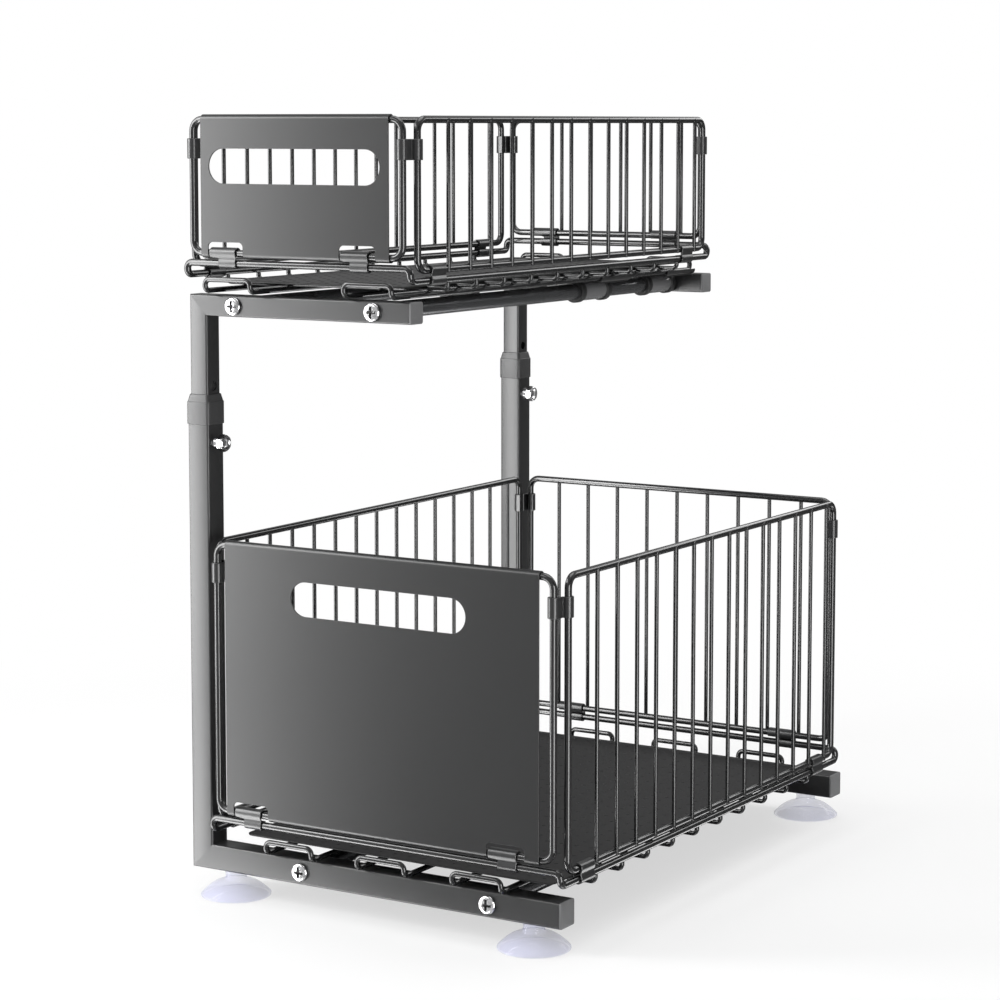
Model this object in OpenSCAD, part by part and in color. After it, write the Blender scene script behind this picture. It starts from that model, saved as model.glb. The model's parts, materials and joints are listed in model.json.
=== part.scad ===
// Two-tier pull-out cabinet basket: a C-shaped frame of square tube on suction feet, four round
// slide rods, and two wire baskets with sheet-metal fronts that slide forwards on the rods.
// X runs right from the posts, Y runs back from the front, Z runs up. The origin is under the
// middle of the whole rack, at the rims of the feet. Sizes are in millimetres.

/* [Frame tubes] */
// Outer side of the square tube of the base arms and outer posts
base_tube = 18; // [16:0.5:22]
// Wall of every square tube
tube_wall = 1.2; // [1:0.1:1.5]
// Gap on each side between an inner post and the outer post around it
telescope_gap = 0.3; // [0.3:0.05:0.5]
// Depth of the frame over its front and rear arms
frame_depth = 440; // [400:1:520]
// Distance that the base arms end short of the lower basket's right wires
base_arm_short = 5; // [0:0.5:12]
// Distance that the top arms end short of the upper basket's right wires
top_arm_short = 6.5; // [0:0.5:12]
// Height of an outer post above the underside of the base arms
outer_post_h = 335; // [300:1:360]
// Height of the top arms' upper face above the underside of the base arms
shelf_h = 411; // [400:1:440]
// Thickness of an end cap's flange
cap_flange = 1.5; // [1:0.25:3]
// Length of the plug that an end cap pushes into its tube
cap_plug = 12; // [8:1:20]

/* [Height lock] */
// Depth of the lock bolts below the top of the outer posts
lock_drop = 29; // [26:1:40]
// Spacing of the holes in the inner posts
hole_pitch = 40; // [30:1:44]
// Diameter of the holes in the inner posts
hole_d = 6.6; // [6:0.1:8]
// Number of holes above the one that the bolt faces
holes_up = 1; // [0:1:1]
// Number of holes below the one that the bolt faces
holes_down = 2; // [1:1:3]
// Length of inner post below its lowest hole
post_tail = 20; // [12:1:30]
// Shank diameter of a lock bolt
lock_bolt_d = 6; // [5:0.5:8]
// Size of a lock bolt's hexagonal head across its flats
lock_head_af = 11; // [10:0.5:14]
// Thickness of a lock bolt's head
lock_head_h = 5; // [4:0.5:8]
// Diameter of the threaded boss that is welded to an outer post
boss_d = 9; // [8.5:0.5:12]
// Length of the threaded boss
boss_len = 4; // [3:0.5:8]
// Wall of the plastic collar around the top of an outer post
collar_wall = 0.9; // [0.8:0.1:2]
// Length of collar below the top of the outer post
collar_skirt = 16; // [10:0.5:18]
// Height of the collar's tapered lip above the outer post
collar_lip = 5.4; // [3:0.1:8]

/* [Slide rods] */
// Diameter of the slide rods
rod_d = 12; // [9:0.5:12]
// Radial running clearance of a bearing on its rod
rod_fit = 0.08; // [0.03:0.01:0.1]
// Distance of the lower rods to the right of the middles of the hoops above them
base_rod_offset = 3.5; // [-6:0.5:6]
// Distance of the upper rods to the right of the middles of the hoops above them
top_rod_offset = -3; // [-6:0.5:6]
// Wall of a bearing around its rod
bearing_wall = 2.4; // [1.6:0.1:2.6]
// Length of a bearing
bearing_len = 45; // [30:1:60]
// Distance from the front arm to the front bearings while the basket is in
pull_out = 254; // [200:1:260]
// Thread diameter of the screws that hold the rods
screw_d = 6; // [4:0.5:6]
// Depth of screw thread in the end of a rod
screw_grip = 14; // [8:1:30]
// Diameter of the screws' pan heads
screw_head_d = 13; // [11:0.5:14]
// Height of the screws' pan heads
screw_head_h = 3; // [2.5:0.25:4]

/* [Feet] */
// Diameter of a suction cup's rim
cup_d = 50; // [40:1:56]
// Height of a suction cup below its arm
cup_h = 18; // [15:0.5:24]
// Diameter of a suction cup's neck
cup_neck_d = 16; // [12:0.5:17]
// Height of a suction cup's neck
cup_neck_h = 5.5; // [3:0.5:7]
// Diameter of the stud that pushes up into the arm
cup_stud_d = 6; // [5:0.5:8]
// Distance of the left feet from the left face of the posts
foot_left = 32; // [28:1:60]
// Distance of the right feet from the ends of the base arms
foot_right = 26; // [26:1:50]

/* [Baskets] */
// Distance of the baskets' front wires in front of the frame
basket_overhang = 9; // [4:0.5:14]
// Distance of the baskets' rear wires before the back of the frame
basket_rear_gap = 22; // [10:1:40]
// Width of the lower basket between its side wires
lower_w = 285; // [240:1:340]
// Distance of the lower basket's left wires from the posts
lower_gap = 8; // [6:0.5:16]
// Height of the lower basket's top rails above the base arms
lower_h = 219; // [150:1:260]
// Width of the upper basket between its side wires
upper_w = 186; // [160:1:220]
// Distance of the upper basket's left wires from the left face of the posts
upper_left = 8.5; // [4:0.5:20]
// Height of the upper basket's top rails above the top arms
upper_h = 122; // [90:1:200]
// Diameter of the wire of the base rings and panel frames
ring_d = 5; // [4:0.25:6]
// Diameter of the long wires of the floors
rail_d = 3.8; // [3:0.1:4]
// Diameter of the cross wires of the floors
cross_d = 3.4; // [2.5:0.1:3.6]
// Diameter of the ribs of the wire panels
rib_d = 3; // [2:0.1:3.5]
// Gap between the arms and the floor wires that slide over them
floor_gap = 1.6; // [1.2:0.1:2.5]
// Height of the sides of a base ring above the arms
ring_lift = 14.5; // [12.5:0.25:18]
// Rise of the front and rear of a base ring above its sides
ring_rise = 8.5; // [8:0.5:12]
// Height of the hoops at the ends of the long floor wires
hoop_rise = 8; // [6:0.5:8]
// Width of a hoop, which is the distance between the long wires that it joins
hoop_w = 38.6; // [34:0.2:42]
// Distance of the lower floor's outer hoops, at their middles, from the basket's side wires
lower_hoop_side = 65.3; // [50:0.1:75]
// Distance of the upper floor's two hoops, at their middles, from the basket's side wires
upper_hoop_side = 34.5; // [28:0.5:50]
// Number of cross wires in a floor
cross_number = 10; // [6:1:14]
// Room between a front side clip and the first cross wire behind it
first_cross_room = 6.15; // [3:0.05:12]
// Room between the last cross wire and the rear side clip behind it
last_cross_room = 3.15; // [2.5:0.05:12]
// Thickness of the floor mats
mat_t = 1.2; // [0.8:0.1:3]
// Distance of a mat's edges inside the base ring
mat_inset = 16; // [8:1:30]

/* [Basket panels] */
// Gap between a front or rear panel's frame and the side panels that it folds down between
panel_gap = 0.8; // [0.4:0.1:3]
// Distance of the side panel frames behind the front wire and before the rear wire
side_inset = 9; // [8.5:0.5:14]
// Bend radius of the panel frames' corners
panel_bend = 8; // [6:0.5:12]
// Gap between the sheet around a panel's lower wire and the base ring under it
fold_gap = 0.95; // [0.4:0.05:1.6]
// Spacing of the ribs
rib_pitch = 27.5; // [24:0.5:34]
// Distance that the ribs stand outside the middle of the panel wires
rib_out = 1.6; // [1:0.1:2.5]
// Thickness of the front plates
plate_t = 1; // [0.6:0.1:1.5]
// Distance of a front plate's edges from the bends of its panel frame
plate_margin = 1; // [0.5:0.5:10]
// Sheet left beside the handle slot of the upper plate, which sets the length of both slots
slot_side = 7.2; // [5:0.2:25]
// Height of the handle slots
slot_h = 24; // [18:1:30]
// Distance of the middle of a handle slot below the top rail
slot_drop = 32; // [26:1:40]

/* [Clips] */
// Thickness of the spring-steel strip of the clips
strip_t = 1.2; // [0.8:0.1:1.4]
// Radial clearance of a hinge clip around a panel wire that turns in it
turn_gap = 0.3; // [0.3:0.05:0.4]
// Room between a rear hinge clip and the ribs on both sides of it
hinge_rib_room = 1.25; // [0.5:0.05:4]
// How much wider a front or rear hinge clip is at the panel than at the base ring
hinge_ear = 7.5; // [0:0.5:12]
// Width of a side hinge clip
side_hinge_w = 18; // [12:0.5:20]
// Room between a front side clip and the bend before it and the rib behind it
side_clip_room = 4.85; // [2:0.05:8]
// Distance of the left notch in a front plate from the plate frame's left upright
notch_left = 15; // [13:0.5:20]
// Distance of the right notch in a front plate from the plate frame's right upright
notch_right = 20; // [13:0.5:24]
// Room in a notch to the left of its hinge clip
notch_left_room = 1; // [0.5:0.25:3]
// Room in a notch to the right of its hinge clip
notch_right_room = 6.5; // [0.5:0.25:8]
// Height of the notches above the middle of the panel frame's lower wire
notch_h = 9.5; // [7:0.5:14]
// Height of a corner clip
corner_clip_h = 14; // [8:1:24]
// Distance of the corner clips below the middle of the top rails
corner_clip_drop = 13; // [12:1:24]

/* [Hidden] */
$fn = 24;

// Finishes
tube_grey = "#77797b";
cap_grey = "#6d6f71";
plate_grey = "#5b5c5e";
wire_grey = "#35373a";
clip_grey = "#3f4144";
mat_black = "#1d1e20";
steel = "#d9dbde";
clear_pvc = "#d9daef";

// Gap between pieces that are welded, clipped or pushed together
seat = 0.05;
// Gap between faces of moving pieces
running = 0.3;
// How far a cutting shape reaches past the faces that it cuts
over = 1;
// Front and back, left and right
ends = [0, 1];
// Least room behind the last rib of a side panel
rib_end_gap = 12;
// Gap between the rear bearings and the rear base arm while a basket is in
stop_gap = 0.5;
// Wall of a bearing's wire hooks, thickness of the web between them and how far it runs into them
hook_wall = 1.3;
web_t = 1.5;
web_lap = 0.1;
// Length of the short legs of a corner clip
corner_leg = 3;
// Least wall of a collar, at the top of its lip
lip_wall = 0.6;
// Indices of the two tiers
LOWER = 0;
UPPER = 1;

// Frame
inner_tube = base_tube - 2 * (tube_wall + telescope_gap);
inner_inset = tube_wall + telescope_gap;
lock_h = outer_post_h - lock_drop;
inner_post_bottom = lock_h - holes_down * hole_pitch - post_tail;
post_mid = base_tube / 2;
head_corner_d = lock_head_af / cos(30);

// Per tier: tube side, place of the arms' outer faces, height of the arms' upper face
tier_tube = [base_tube, inner_tube];
tier_face = [0, inner_inset];
tier_z = [base_tube, shelf_h];

// Per tier: left wires, width, middle and height of the basket, middles of its hoops, slide
// rods under the outer hoops, and ends of the arms
tier_left = [base_tube + lower_gap, upper_left];
tier_w = [lower_w, upper_w];
tier_mid = tier_left + tier_w / 2;
tier_h = [lower_h, upper_h];
tier_hoop_out = tier_w / 2 - [lower_hoop_side, upper_hoop_side];
tier_hoops = [
    [for (k = [-1:1]) tier_mid[LOWER] + k * tier_hoop_out[LOWER]],
    [for (k = [-1, 1]) tier_mid[UPPER] + k * tier_hoop_out[UPPER]]
];
tier_rod_offset = [base_rod_offset, top_rod_offset];
tier_rods = [for (t = [LOWER, UPPER])
    [for (k = [-1, 1]) tier_mid[t] + k * tier_hoop_out[t] + tier_rod_offset[t]]];
tier_arm_end = tier_left + tier_w - [base_arm_short, top_arm_short];

// Baskets
front_y = -basket_overhang;
rear_y = frame_depth - basket_rear_gap;
basket_len = rear_y - front_y;
ring_r = ring_d / 2;
ring_bend = ring_rise / 2;
rail_up = floor_gap + rail_d / 2;
cross_up = rail_up + rail_d / 2 + seat + cross_d / 2;
cross_end_up = ring_lift - ring_r - seat;
mat_up = cross_up + cross_d / 2 + seat;
end_ring_up = ring_lift + ring_rise;
hinge_pitch = ring_d + seat + plate_t + fold_gap;
end_panel_up = end_ring_up + hinge_pitch;
side_panel_up = ring_lift + hinge_pitch;
panel_inset = ring_d + panel_gap;
plate_inset = panel_bend + plate_margin;
slot_w = upper_w - 2 * (panel_inset + plate_inset + slot_side);

// Side panels: ribs, hinge clips between them, and cross wires clear of the clips
side_y = front_y + side_inset;
side_len = basket_len - 2 * side_inset;
rib_start = panel_bend + side_hinge_w + 2 * side_clip_room;
side_ribs = 1 + floor((side_len - rib_start - rib_end_gap) / rib_pitch);
side_clips = [side_y + (panel_bend + rib_start) / 2, side_y + rib_start + (side_ribs - 1.5) * rib_pitch];
first_cross = side_clips[0] + side_hinge_w / 2 + first_cross_room;
last_cross = side_clips[1] - side_hinge_w / 2 - last_cross_room;

// Front and rear hinge clips fit between two rear ribs, and the notches fit the clips
hinge_w = rib_pitch - rib_d - 2 * hinge_rib_room;
notch_w = notch_left_room + hinge_w + notch_right_room;
front_bearing_y = base_tube + pull_out;
rear_bearing_y = frame_depth - base_tube - stop_gap - bearing_len;

// Middle of the whole rack, so that the origin lies under it
rack_left = min(-collar_wall, foot_left - cup_d / 2);
rack_right = max(tier_left[LOWER] + lower_w + ring_r + seat + strip_t, tier_arm_end[LOWER]);
rack_front = min(front_y - ring_r - turn_gap - strip_t, post_mid - cup_d / 2);
rack_rear = max(frame_depth + screw_head_h, frame_depth - post_mid + cup_d / 2);

function snap(v) = [for (c = v) round(100 * c) / 100];
function unit(v) = v / norm(v);
function side_of(d) = abs(d.z) < 0.9 ? unit(cross([0, 0, 1], d)) : [1, 0, 0];
function ring_x(tier, side) = tier_mid[tier] + (side - 0.5) * tier_w[tier];
function panel_x(tier, side) = ring_x(tier, side) + (0.5 - side) * 2 * panel_inset;
function tier_ribs(tier) = floor((tier_w[tier] - 2 * panel_inset) / rib_pitch);
function arm_y(tier, end) = end == 0 ? tier_face[tier] : frame_depth - tier_face[tier] - tier_tube[tier];

// Moves a piece from the frame's own corner to the origin under the rack
module to_origin() {
    translate([-(rack_left + rack_right) / 2, -(rack_front + rack_rear) / 2, cup_h]) children();
}

// Mirrors children front to back about the middle of the frame when end is 1
module at_end(end) {
    translate([0, end * frame_depth, 0]) mirror([0, end, 0]) children();
}

// Extrudes a drawing of X and Z along Y
module along_y(y, len) {
    translate([0, y + len, 0]) rotate([90, 0, 0]) linear_extrude(len) children();
}

// Extrudes a drawing of Y and Z along X
module along_x(x, len) {
    translate([x, 0, 0]) rotate([90, 0, 90]) linear_extrude(len) children();
}

// ---- Bent wire ----

module straight_wire(a, b, r) {
    d = unit(b - a);
    x = side_of(d);
    y = cross(d, x);
    multmatrix([[x.x, y.x, d.x, a.x], [x.y, y.y, d.y, a.y], [x.z, y.z, d.z, a.z], [0, 0, 0, 1]])
        cylinder(h = norm(b - a), r = r);
}

// A bend at corner p, from direction u to direction v
module wire_bend(p, u, v, bend, r) {
    turn = acos(u * v);
    n = unit(v - (u * v) * u);
    c = p - bend * tan(turn / 2) * u + bend * n;
    z = cross(u, n);
    multmatrix([[-n.x, u.x, z.x, c.x], [-n.y, u.y, z.y, c.y], [-n.z, u.z, z.z, c.z], [0, 0, 0, 1]])
        rotate_extrude(angle = turn) translate([bend, 0]) circle(r = r);
}

// A wire through square corners, each bent to one radius. Places are kept to a hundredth of a
// millimetre, so that straight and bent stretches meet face to face. The two ends of a closed
// wire lap at its weld.
module bent_wire(corners, d, bend) {
    p = [for (c = corners) snap(c)];
    last = len(p) - 1;
    u = [for (i = [0:last - 1]) unit(p[i + 1] - p[i])];
    trim = [for (i = [0:last]) i == 0 || i == last ? 0 : bend];
    for (i = [0:last - 1])
        if (norm(p[i + 1] - p[i]) > trim[i] + trim[i + 1] + 0.001)
            straight_wire(p[i] + trim[i] * u[i], p[i + 1] - trim[i + 1] * u[i], d / 2);
    for (i = [1:last - 1]) wire_bend(p[i], u[i - 1], u[i], bend, d / 2);
}

// ---- Frame ----

module square_tube(size, hollow) {
    difference() {
        cube(size);
        translate(hollow[0]) cube(hollow[1]);
    }
}

// Arm of a tier along X, mitred where it is welded to its post
module arm(tier, end) {
    side = tier_tube[tier];
    len = tier_arm_end[tier] - cap_flange - tier_face[tier];
    bore = side - 2 * tube_wall;
    y = arm_y(tier, end);
    color(tube_grey) to_origin() translate([tier_face[tier], y, tier_z[tier] - side]) difference() {
        square_tube([len, side, side], [[-over, tube_wall, tube_wall], [len + 2 * over, bore, bore]]);
        along_y(-over, side + 2 * over) polygon(tier == LOWER
            ? [[-over, -over], [side + over, side + over], [-over, side + over]]
            : [[-over, side + over], [side + over, -over], [-over, -over]]);
        for (x = tier_rods[tier]) translate([x - tier_face[tier], -over, side / 2])
            rotate([-90, 0, 0]) cylinder(h = side + 2 * over, d = screw_d + 2 * running);
        if (tier == LOWER) for (x = [foot_left, tier_arm_end[LOWER] - foot_right])
            translate([x, side / 2, -over])
                cylinder(h = 2 * over + tube_wall, d = cup_stud_d + 2 * running);
    }
}

// Lower post, open at the top for the inner post
module outer_post(end) {
    bore = base_tube - 2 * tube_wall;
    color(tube_grey) to_origin() translate([0, arm_y(LOWER, end), 0]) difference() {
        square_tube([base_tube, base_tube, outer_post_h],
            [[tube_wall, tube_wall, -over], [bore, bore, outer_post_h + 2 * over]]);
        along_y(-over, base_tube + 2 * over)
            polygon([[-over, -over], [base_tube + over, base_tube + over], [base_tube + over, -over]]);
        translate([-over, post_mid, lock_h]) rotate([0, 90, 0])
            cylinder(h = base_tube + 2 * over, d = lock_bolt_d + 2 * running);
    }
}

// Upper post, which telescopes in the outer one and has a row of height holes
module inner_post(end) {
    bore = inner_tube - 2 * tube_wall;
    height = shelf_h - inner_post_bottom;
    color(tube_grey) to_origin()
    translate([inner_inset, arm_y(UPPER, end), inner_post_bottom]) difference() {
        square_tube([inner_tube, inner_tube, height],
            [[tube_wall, tube_wall, -over], [bore, bore, height + 2 * over]]);
        along_y(-over, inner_tube + 2 * over) polygon([[-over, height + over],
            [inner_tube + over, height + over], [inner_tube + over, height - inner_tube - over]]);
        for (k = [-holes_down:holes_up])
            translate([-over, inner_tube / 2, lock_h + k * hole_pitch - inner_post_bottom])
                rotate([0, 90, 0]) cylinder(h = inner_tube + 2 * over, d = hole_d);
    }
}

// Plastic collar over the top of an outer post
module collar(end) {
    half = base_tube / 2 + collar_wall;
    lip_half = inner_tube / 2 + running + lip_wall;
    top = collar_skirt + collar_lip;
    outline = [[-half, 0], [half, 0], [half, collar_skirt], [lip_half, top], [-lip_half, top],
        [-half, collar_skirt]];
    pocket = base_tube + 2 * seat;
    throat = inner_tube + 2 * running;
    color(cap_grey) to_origin()
    translate([post_mid, arm_y(LOWER, end) + post_mid, outer_post_h - collar_skirt]) difference() {
        intersection() {
            along_y(-half, 2 * half) polygon(outline);
            along_x(-half, 2 * half) polygon(outline);
        }
        translate([-pocket / 2, -pocket / 2, -over]) cube([pocket, pocket, collar_skirt + over]);
        translate([-throat / 2, -throat / 2, 0])
            cube([throat, throat, collar_skirt + collar_lip + over]);
    }
}

module end_caps(tier) {
    side = tier_tube[tier];
    plug = side - 2 * tube_wall - 2 * seat;
    color(cap_grey) to_origin() for (end = ends)
        translate([tier_arm_end[tier] - cap_flange, arm_y(tier, end), tier_z[tier] - side]) {
            cube([cap_flange, side, side]);
            translate([-cap_plug, tube_wall + seat, tube_wall + seat]) cube([cap_plug + over, plug, plug]);
        }
}

module lock_bosses() {
    color(steel) to_origin() for (end = ends)
        translate([base_tube, arm_y(LOWER, end) + post_mid, lock_h]) rotate([0, 90, 0]) difference() {
            cylinder(h = boss_len, d = boss_d);
            translate([0, 0, -over]) cylinder(h = boss_len + 2 * over, r = lock_bolt_d / 2 + rod_fit);
        }
}

// Hexagon-headed bolt, whose tip stops just short of the inner post
module lock_bolt(end) {
    tip = -tube_wall;
    head = boss_len + running;
    crown_r = 1.085 * head_corner_d;
    color(steel) to_origin()
    translate([base_tube, arm_y(LOWER, end) + post_mid, lock_h]) rotate([0, 90, 0]) {
        translate([0, 0, tip]) cylinder(h = head - tip + lock_head_h / 2, d = lock_bolt_d);
        intersection() {
            translate([0, 0, head]) cylinder(h = lock_head_h, d = head_corner_d, $fn = 6);
            translate([0, 0, head + lock_head_h - head_corner_d]) sphere(r = crown_r);
        }
    }
}

// ---- Slide rods ----

module slide_rod(tier, side) {
    x = tier_rods[tier][side];
    y = arm_y(tier, 0) + tier_tube[tier];
    len = arm_y(tier, 1) - y;
    bore_depth = screw_grip + screw_d / 3;
    color(wire_grey) to_origin() translate([x, y, tier_z[tier] - tier_tube[tier] / 2])
    rotate([-90, 0, 0]) difference() {
        cylinder(h = len, d = rod_d);
        for (z = [-over, len - bore_depth]) translate([0, 0, z])
            cylinder(h = bore_depth + over, r = screw_d / 2 + seat);
    }
}

// Pan-head screw with a cross recess, head on the arm's outer face and pointing along +Z
module pan_screw(len) {
    edge = 1.4;
    recess = [0.42 * screw_head_d, 0.09 * screw_head_d, 0.55 * screw_head_h];
    difference() {
        rotate_extrude() {
            translate([0, -screw_head_h]) square([screw_head_d / 2 - edge, screw_head_h]);
            translate([0, -screw_head_h + edge]) square([screw_head_d / 2, screw_head_h - edge]);
            translate([screw_head_d / 2 - edge, -screw_head_h + edge]) circle(r = edge);
        }
        for (a = [0, 90]) rotate([0, 0, a]) translate([-recess.x / 2, -recess.y / 2, -screw_head_h - over])
            cube([recess.x, recess.y, recess.z + over]);
    }
    translate([0, 0, -screw_head_h / 4]) cylinder(h = len + screw_head_h / 4, d = screw_d);
}

module rod_screws(tier) {
    len = tier_tube[tier] + screw_grip;
    color(steel) to_origin() for (end = ends, x = tier_rods[tier]) at_end(end)
        translate([x, tier_face[tier], tier_z[tier] - tier_tube[tier] / 2])
            rotate([-90, 45, 0]) pan_screw(len);
}

// ---- Feet ----

module suction_cup(end, side) {
    x = side == 0 ? foot_left : tier_arm_end[LOWER] - foot_right;
    neck_r = cup_neck_d / 2;
    waist = 0.6;
    rim_r = cup_d / 2;
    rim_h = 1.2;
    rim_slope = 0.5;
    dome_h = cup_h - cup_neck_h - rim_h;
    steps = 10;
    dome = [for (i = [0:steps])
        [neck_r + (rim_r - neck_r) * i / steps, -cup_neck_h - dome_h * pow(i / steps, 1.4)]];
    hollow_r = rim_r - 2;
    hollow_h = 0.28 * cup_h;
    hollow_ball = (hollow_r * hollow_r + hollow_h * hollow_h) / (2 * hollow_h);
    stud_r = cup_stud_d / 2;
    barb_r = stud_r + 1.2;
    barb_z = tube_wall + seat;
    barb_h = 2;
    stud = [[0, barb_z + barb_h], [barb_r, barb_z + barb_h], [barb_r, barb_z], [stud_r, barb_z],
        [stud_r, 0], [neck_r, 0], [neck_r - waist, -cup_neck_h / 2]];
    rim = [[rim_r - rim_slope, -cup_h], [0, -cup_h]];
    color(clear_pvc) to_origin() translate([x, arm_y(LOWER, end) + post_mid, 0]) difference() {
        rotate_extrude() polygon(concat(stud, dome, rim));
        translate([0, 0, -cup_h + hollow_h - hollow_ball]) sphere(r = hollow_ball);
    }
}

// ---- Basket floors ----

// Base ring of a basket: one wire that drops at each corner from the raised ends to the sides
module base_ring(tier) {
    lo = tier_z[tier] + ring_lift;
    hi = tier_z[tier] + end_ring_up;
    l = ring_x(tier, 0);
    r = ring_x(tier, 1);
    m = tier_mid[tier];
    color(wire_grey) to_origin()
        bent_wire([[m - seat, rear_y, hi], [r, rear_y, hi], [r, rear_y, lo], [r, front_y, lo],
            [r, front_y, hi], [l, front_y, hi], [l, front_y, lo], [l, rear_y, lo],
            [l, rear_y, hi], [m, rear_y, hi]], ring_d, ring_bend);
}

// Long floor wires: each pair is one wire with a raised hoop at both ends
module floor_rails(tier) {
    lo = tier_z[tier] + rail_up;
    hi = lo + hoop_rise;
    seam = (front_y + rear_y) / 2;
    color(wire_grey) to_origin() for (x = tier_hoops[tier]) {
        l = x - hoop_w / 2;
        r = x + hoop_w / 2;
        bent_wire([[l, seam, lo], [l, front_y, lo], [l, front_y, hi], [r, front_y, hi],
            [r, front_y, lo], [r, rear_y, lo], [r, rear_y, hi], [l, rear_y, hi], [l, rear_y, lo],
            [l, seam - seat, lo]], rail_d, hoop_rise / 2);
    }
}

// Cross wires: each turns up at its ends to meet the underside of the base ring
module cross_wires(tier) {
    lo = tier_z[tier] + cross_up;
    hi = tier_z[tier] + cross_end_up;
    color(wire_grey) to_origin() for (i = [0:cross_number - 1]) {
        y = first_cross + i * (last_cross - first_cross) / (cross_number - 1);
        bent_wire([[ring_x(tier, 0), y, hi], [ring_x(tier, 0), y, lo], [ring_x(tier, 1), y, lo],
            [ring_x(tier, 1), y, hi]], cross_d, min(cross_d, hi - lo));
    }
}

module floor_mat(tier) {
    corner = 6;
    size = [tier_w[tier] - 2 * mat_inset, basket_len - 2 * mat_inset];
    color(mat_black) to_origin()
    translate([ring_x(tier, 0) + mat_inset, front_y + mat_inset, tier_z[tier] + mat_up])
        linear_extrude(mat_t) {
            translate([corner, 0]) square([size.x - 2 * corner, size.y]);
            translate([0, corner]) square([size.x, size.y - 2 * corner]);
            for (x = [corner, size.x - corner], y = [corner, size.y - corner])
                translate([x, y]) circle(r = corner);
        }
}

// ---- Basket panels ----

module side_panel(tier, side) {
    x = ring_x(tier, side);
    lo = tier_z[tier] + side_panel_up;
    hi = tier_z[tier] + tier_h[tier];
    f = side_y;
    b = f + side_len;
    m = (f + b) / 2;
    color(wire_grey) to_origin() {
        bent_wire([[x, m, lo], [x, f, lo], [x, f, hi], [x, b, hi], [x, b, lo], [x, m - seat, lo]],
            ring_d, panel_bend);
        for (i = [0:side_ribs - 1])
            translate([x + (2 * side - 1) * rib_out, f + rib_start + i * rib_pitch, lo - ring_r])
                cylinder(h = hi - lo + ring_r, d = rib_d);
    }
}

// Wire frame of a front or rear panel
module end_frame(tier, y) {
    lo = tier_z[tier] + end_panel_up;
    hi = tier_z[tier] + tier_h[tier];
    l = panel_x(tier, 0);
    r = panel_x(tier, 1);
    m = tier_mid[tier];
    color(wire_grey) to_origin()
        bent_wire([[m, y, lo], [l, y, lo], [l, y, hi], [r, y, hi], [r, y, lo], [m - seat, y, lo]],
            ring_d, panel_bend);
}

module front_ring(tier) {
    end_frame(tier, front_y);
}

module rear_panel(tier) {
    lo = tier_z[tier] + end_panel_up;
    hi = tier_z[tier] + tier_h[tier];
    n = tier_ribs(tier);
    end_frame(tier, rear_y);
    color(wire_grey) to_origin() for (i = [0:n - 1])
        translate([tier_mid[tier] + (i - (n - 1) / 2) * rib_pitch, rear_y + rib_out, lo - ring_r])
            cylinder(h = hi - lo + ring_r, d = rib_d);
}

// Ring of sheet around a wire, drawn in the plane across the wire
module wrap(inner, outer) {
    difference() {
        circle(r = outer);
        circle(r = inner);
    }
}

// Sheet front with a handle slot: it wraps around the frame's top and lower wires
module front_plate(tier) {
    inner = ring_r + seat;
    outer = inner + plate_t;
    lo = tier_z[tier] + end_panel_up;
    hi = tier_z[tier] + tier_h[tier];
    l = panel_x(tier, 0) + plate_inset;
    r = panel_x(tier, 1) - plate_inset;
    slot_z = hi - slot_drop;
    slot_half = (slot_w - slot_h) / 2;
    notches = [panel_x(tier, 0) + notch_left, panel_x(tier, 1) - notch_right - notch_w];
    notch_r = 3.5;
    color(plate_grey) to_origin() difference() {
        along_x(l, r - l) {
            translate([front_y - outer, lo]) square([plate_t, hi - lo]);
            for (z = [lo, hi]) translate([front_y, z]) wrap(inner, outer);
        }
        along_y(front_y - 2 * outer, 2 * outer) {
            translate([tier_mid[tier] - slot_half, slot_z - slot_h / 2]) square([2 * slot_half, slot_h]);
            for (s = [-1, 1]) translate([tier_mid[tier] + s * slot_half, slot_z]) circle(d = slot_h);
        }
        for (x = notches) along_y(front_y - 2 * outer, 4 * outer) {
            translate([x, lo - 2 * outer]) square([notch_w, 2 * outer + notch_h - notch_r]);
            translate([x + notch_r, lo]) square([notch_w - 2 * notch_r, notch_h]);
            for (s = [notch_r, notch_w - notch_r])
                translate([x + s, lo + notch_h - notch_r]) circle(r = notch_r);
        }
    }
}

// ---- Clips ----

// Figure-eight strip around a panel's lower wire and the base ring under it. It is drawn across
// the wires, which run along Z here, and its neck lies at the far end.
module hinge_clip(width, neck, fit) {
    lobe = ring_r + fit;
    grip = ring_r + seat;
    difference() {
        union() {
            translate([0, hinge_pitch, 0]) cylinder(h = width, r = lobe + strip_t);
            translate([0, 0, width - neck]) cylinder(h = neck, r = grip + strip_t);
        }
        translate([0, hinge_pitch, -over]) cylinder(h = width + 2 * over, r = lobe);
        translate([0, 0, -over]) cylinder(h = width + 2 * over, r = grip);
    }
}

// Front or rear clip, in which the panel's wire turns
module hinge_clip_along_x(x, y, z) {
    translate([x, y, z]) rotate([90, 0, 90]) hinge_clip(hinge_w, hinge_w - hinge_ear, turn_gap);
}

module front_hinges(tier) {
    notches = [panel_x(tier, 0) + notch_left, panel_x(tier, 1) - notch_right - notch_w];
    color(clip_grey) to_origin() for (x = notches)
        hinge_clip_along_x(x + notch_left_room, front_y, tier_z[tier] + end_ring_up);
}

// Rear clips lie between the ribs
module rear_hinges(tier) {
    spread = (tier_ribs(tier) - 2) / 2 * rib_pitch;
    color(clip_grey) to_origin() for (s = [-1, 1])
        hinge_clip_along_x(tier_mid[tier] + s * spread - hinge_w / 2, rear_y,
            tier_z[tier] + end_ring_up);
}

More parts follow.
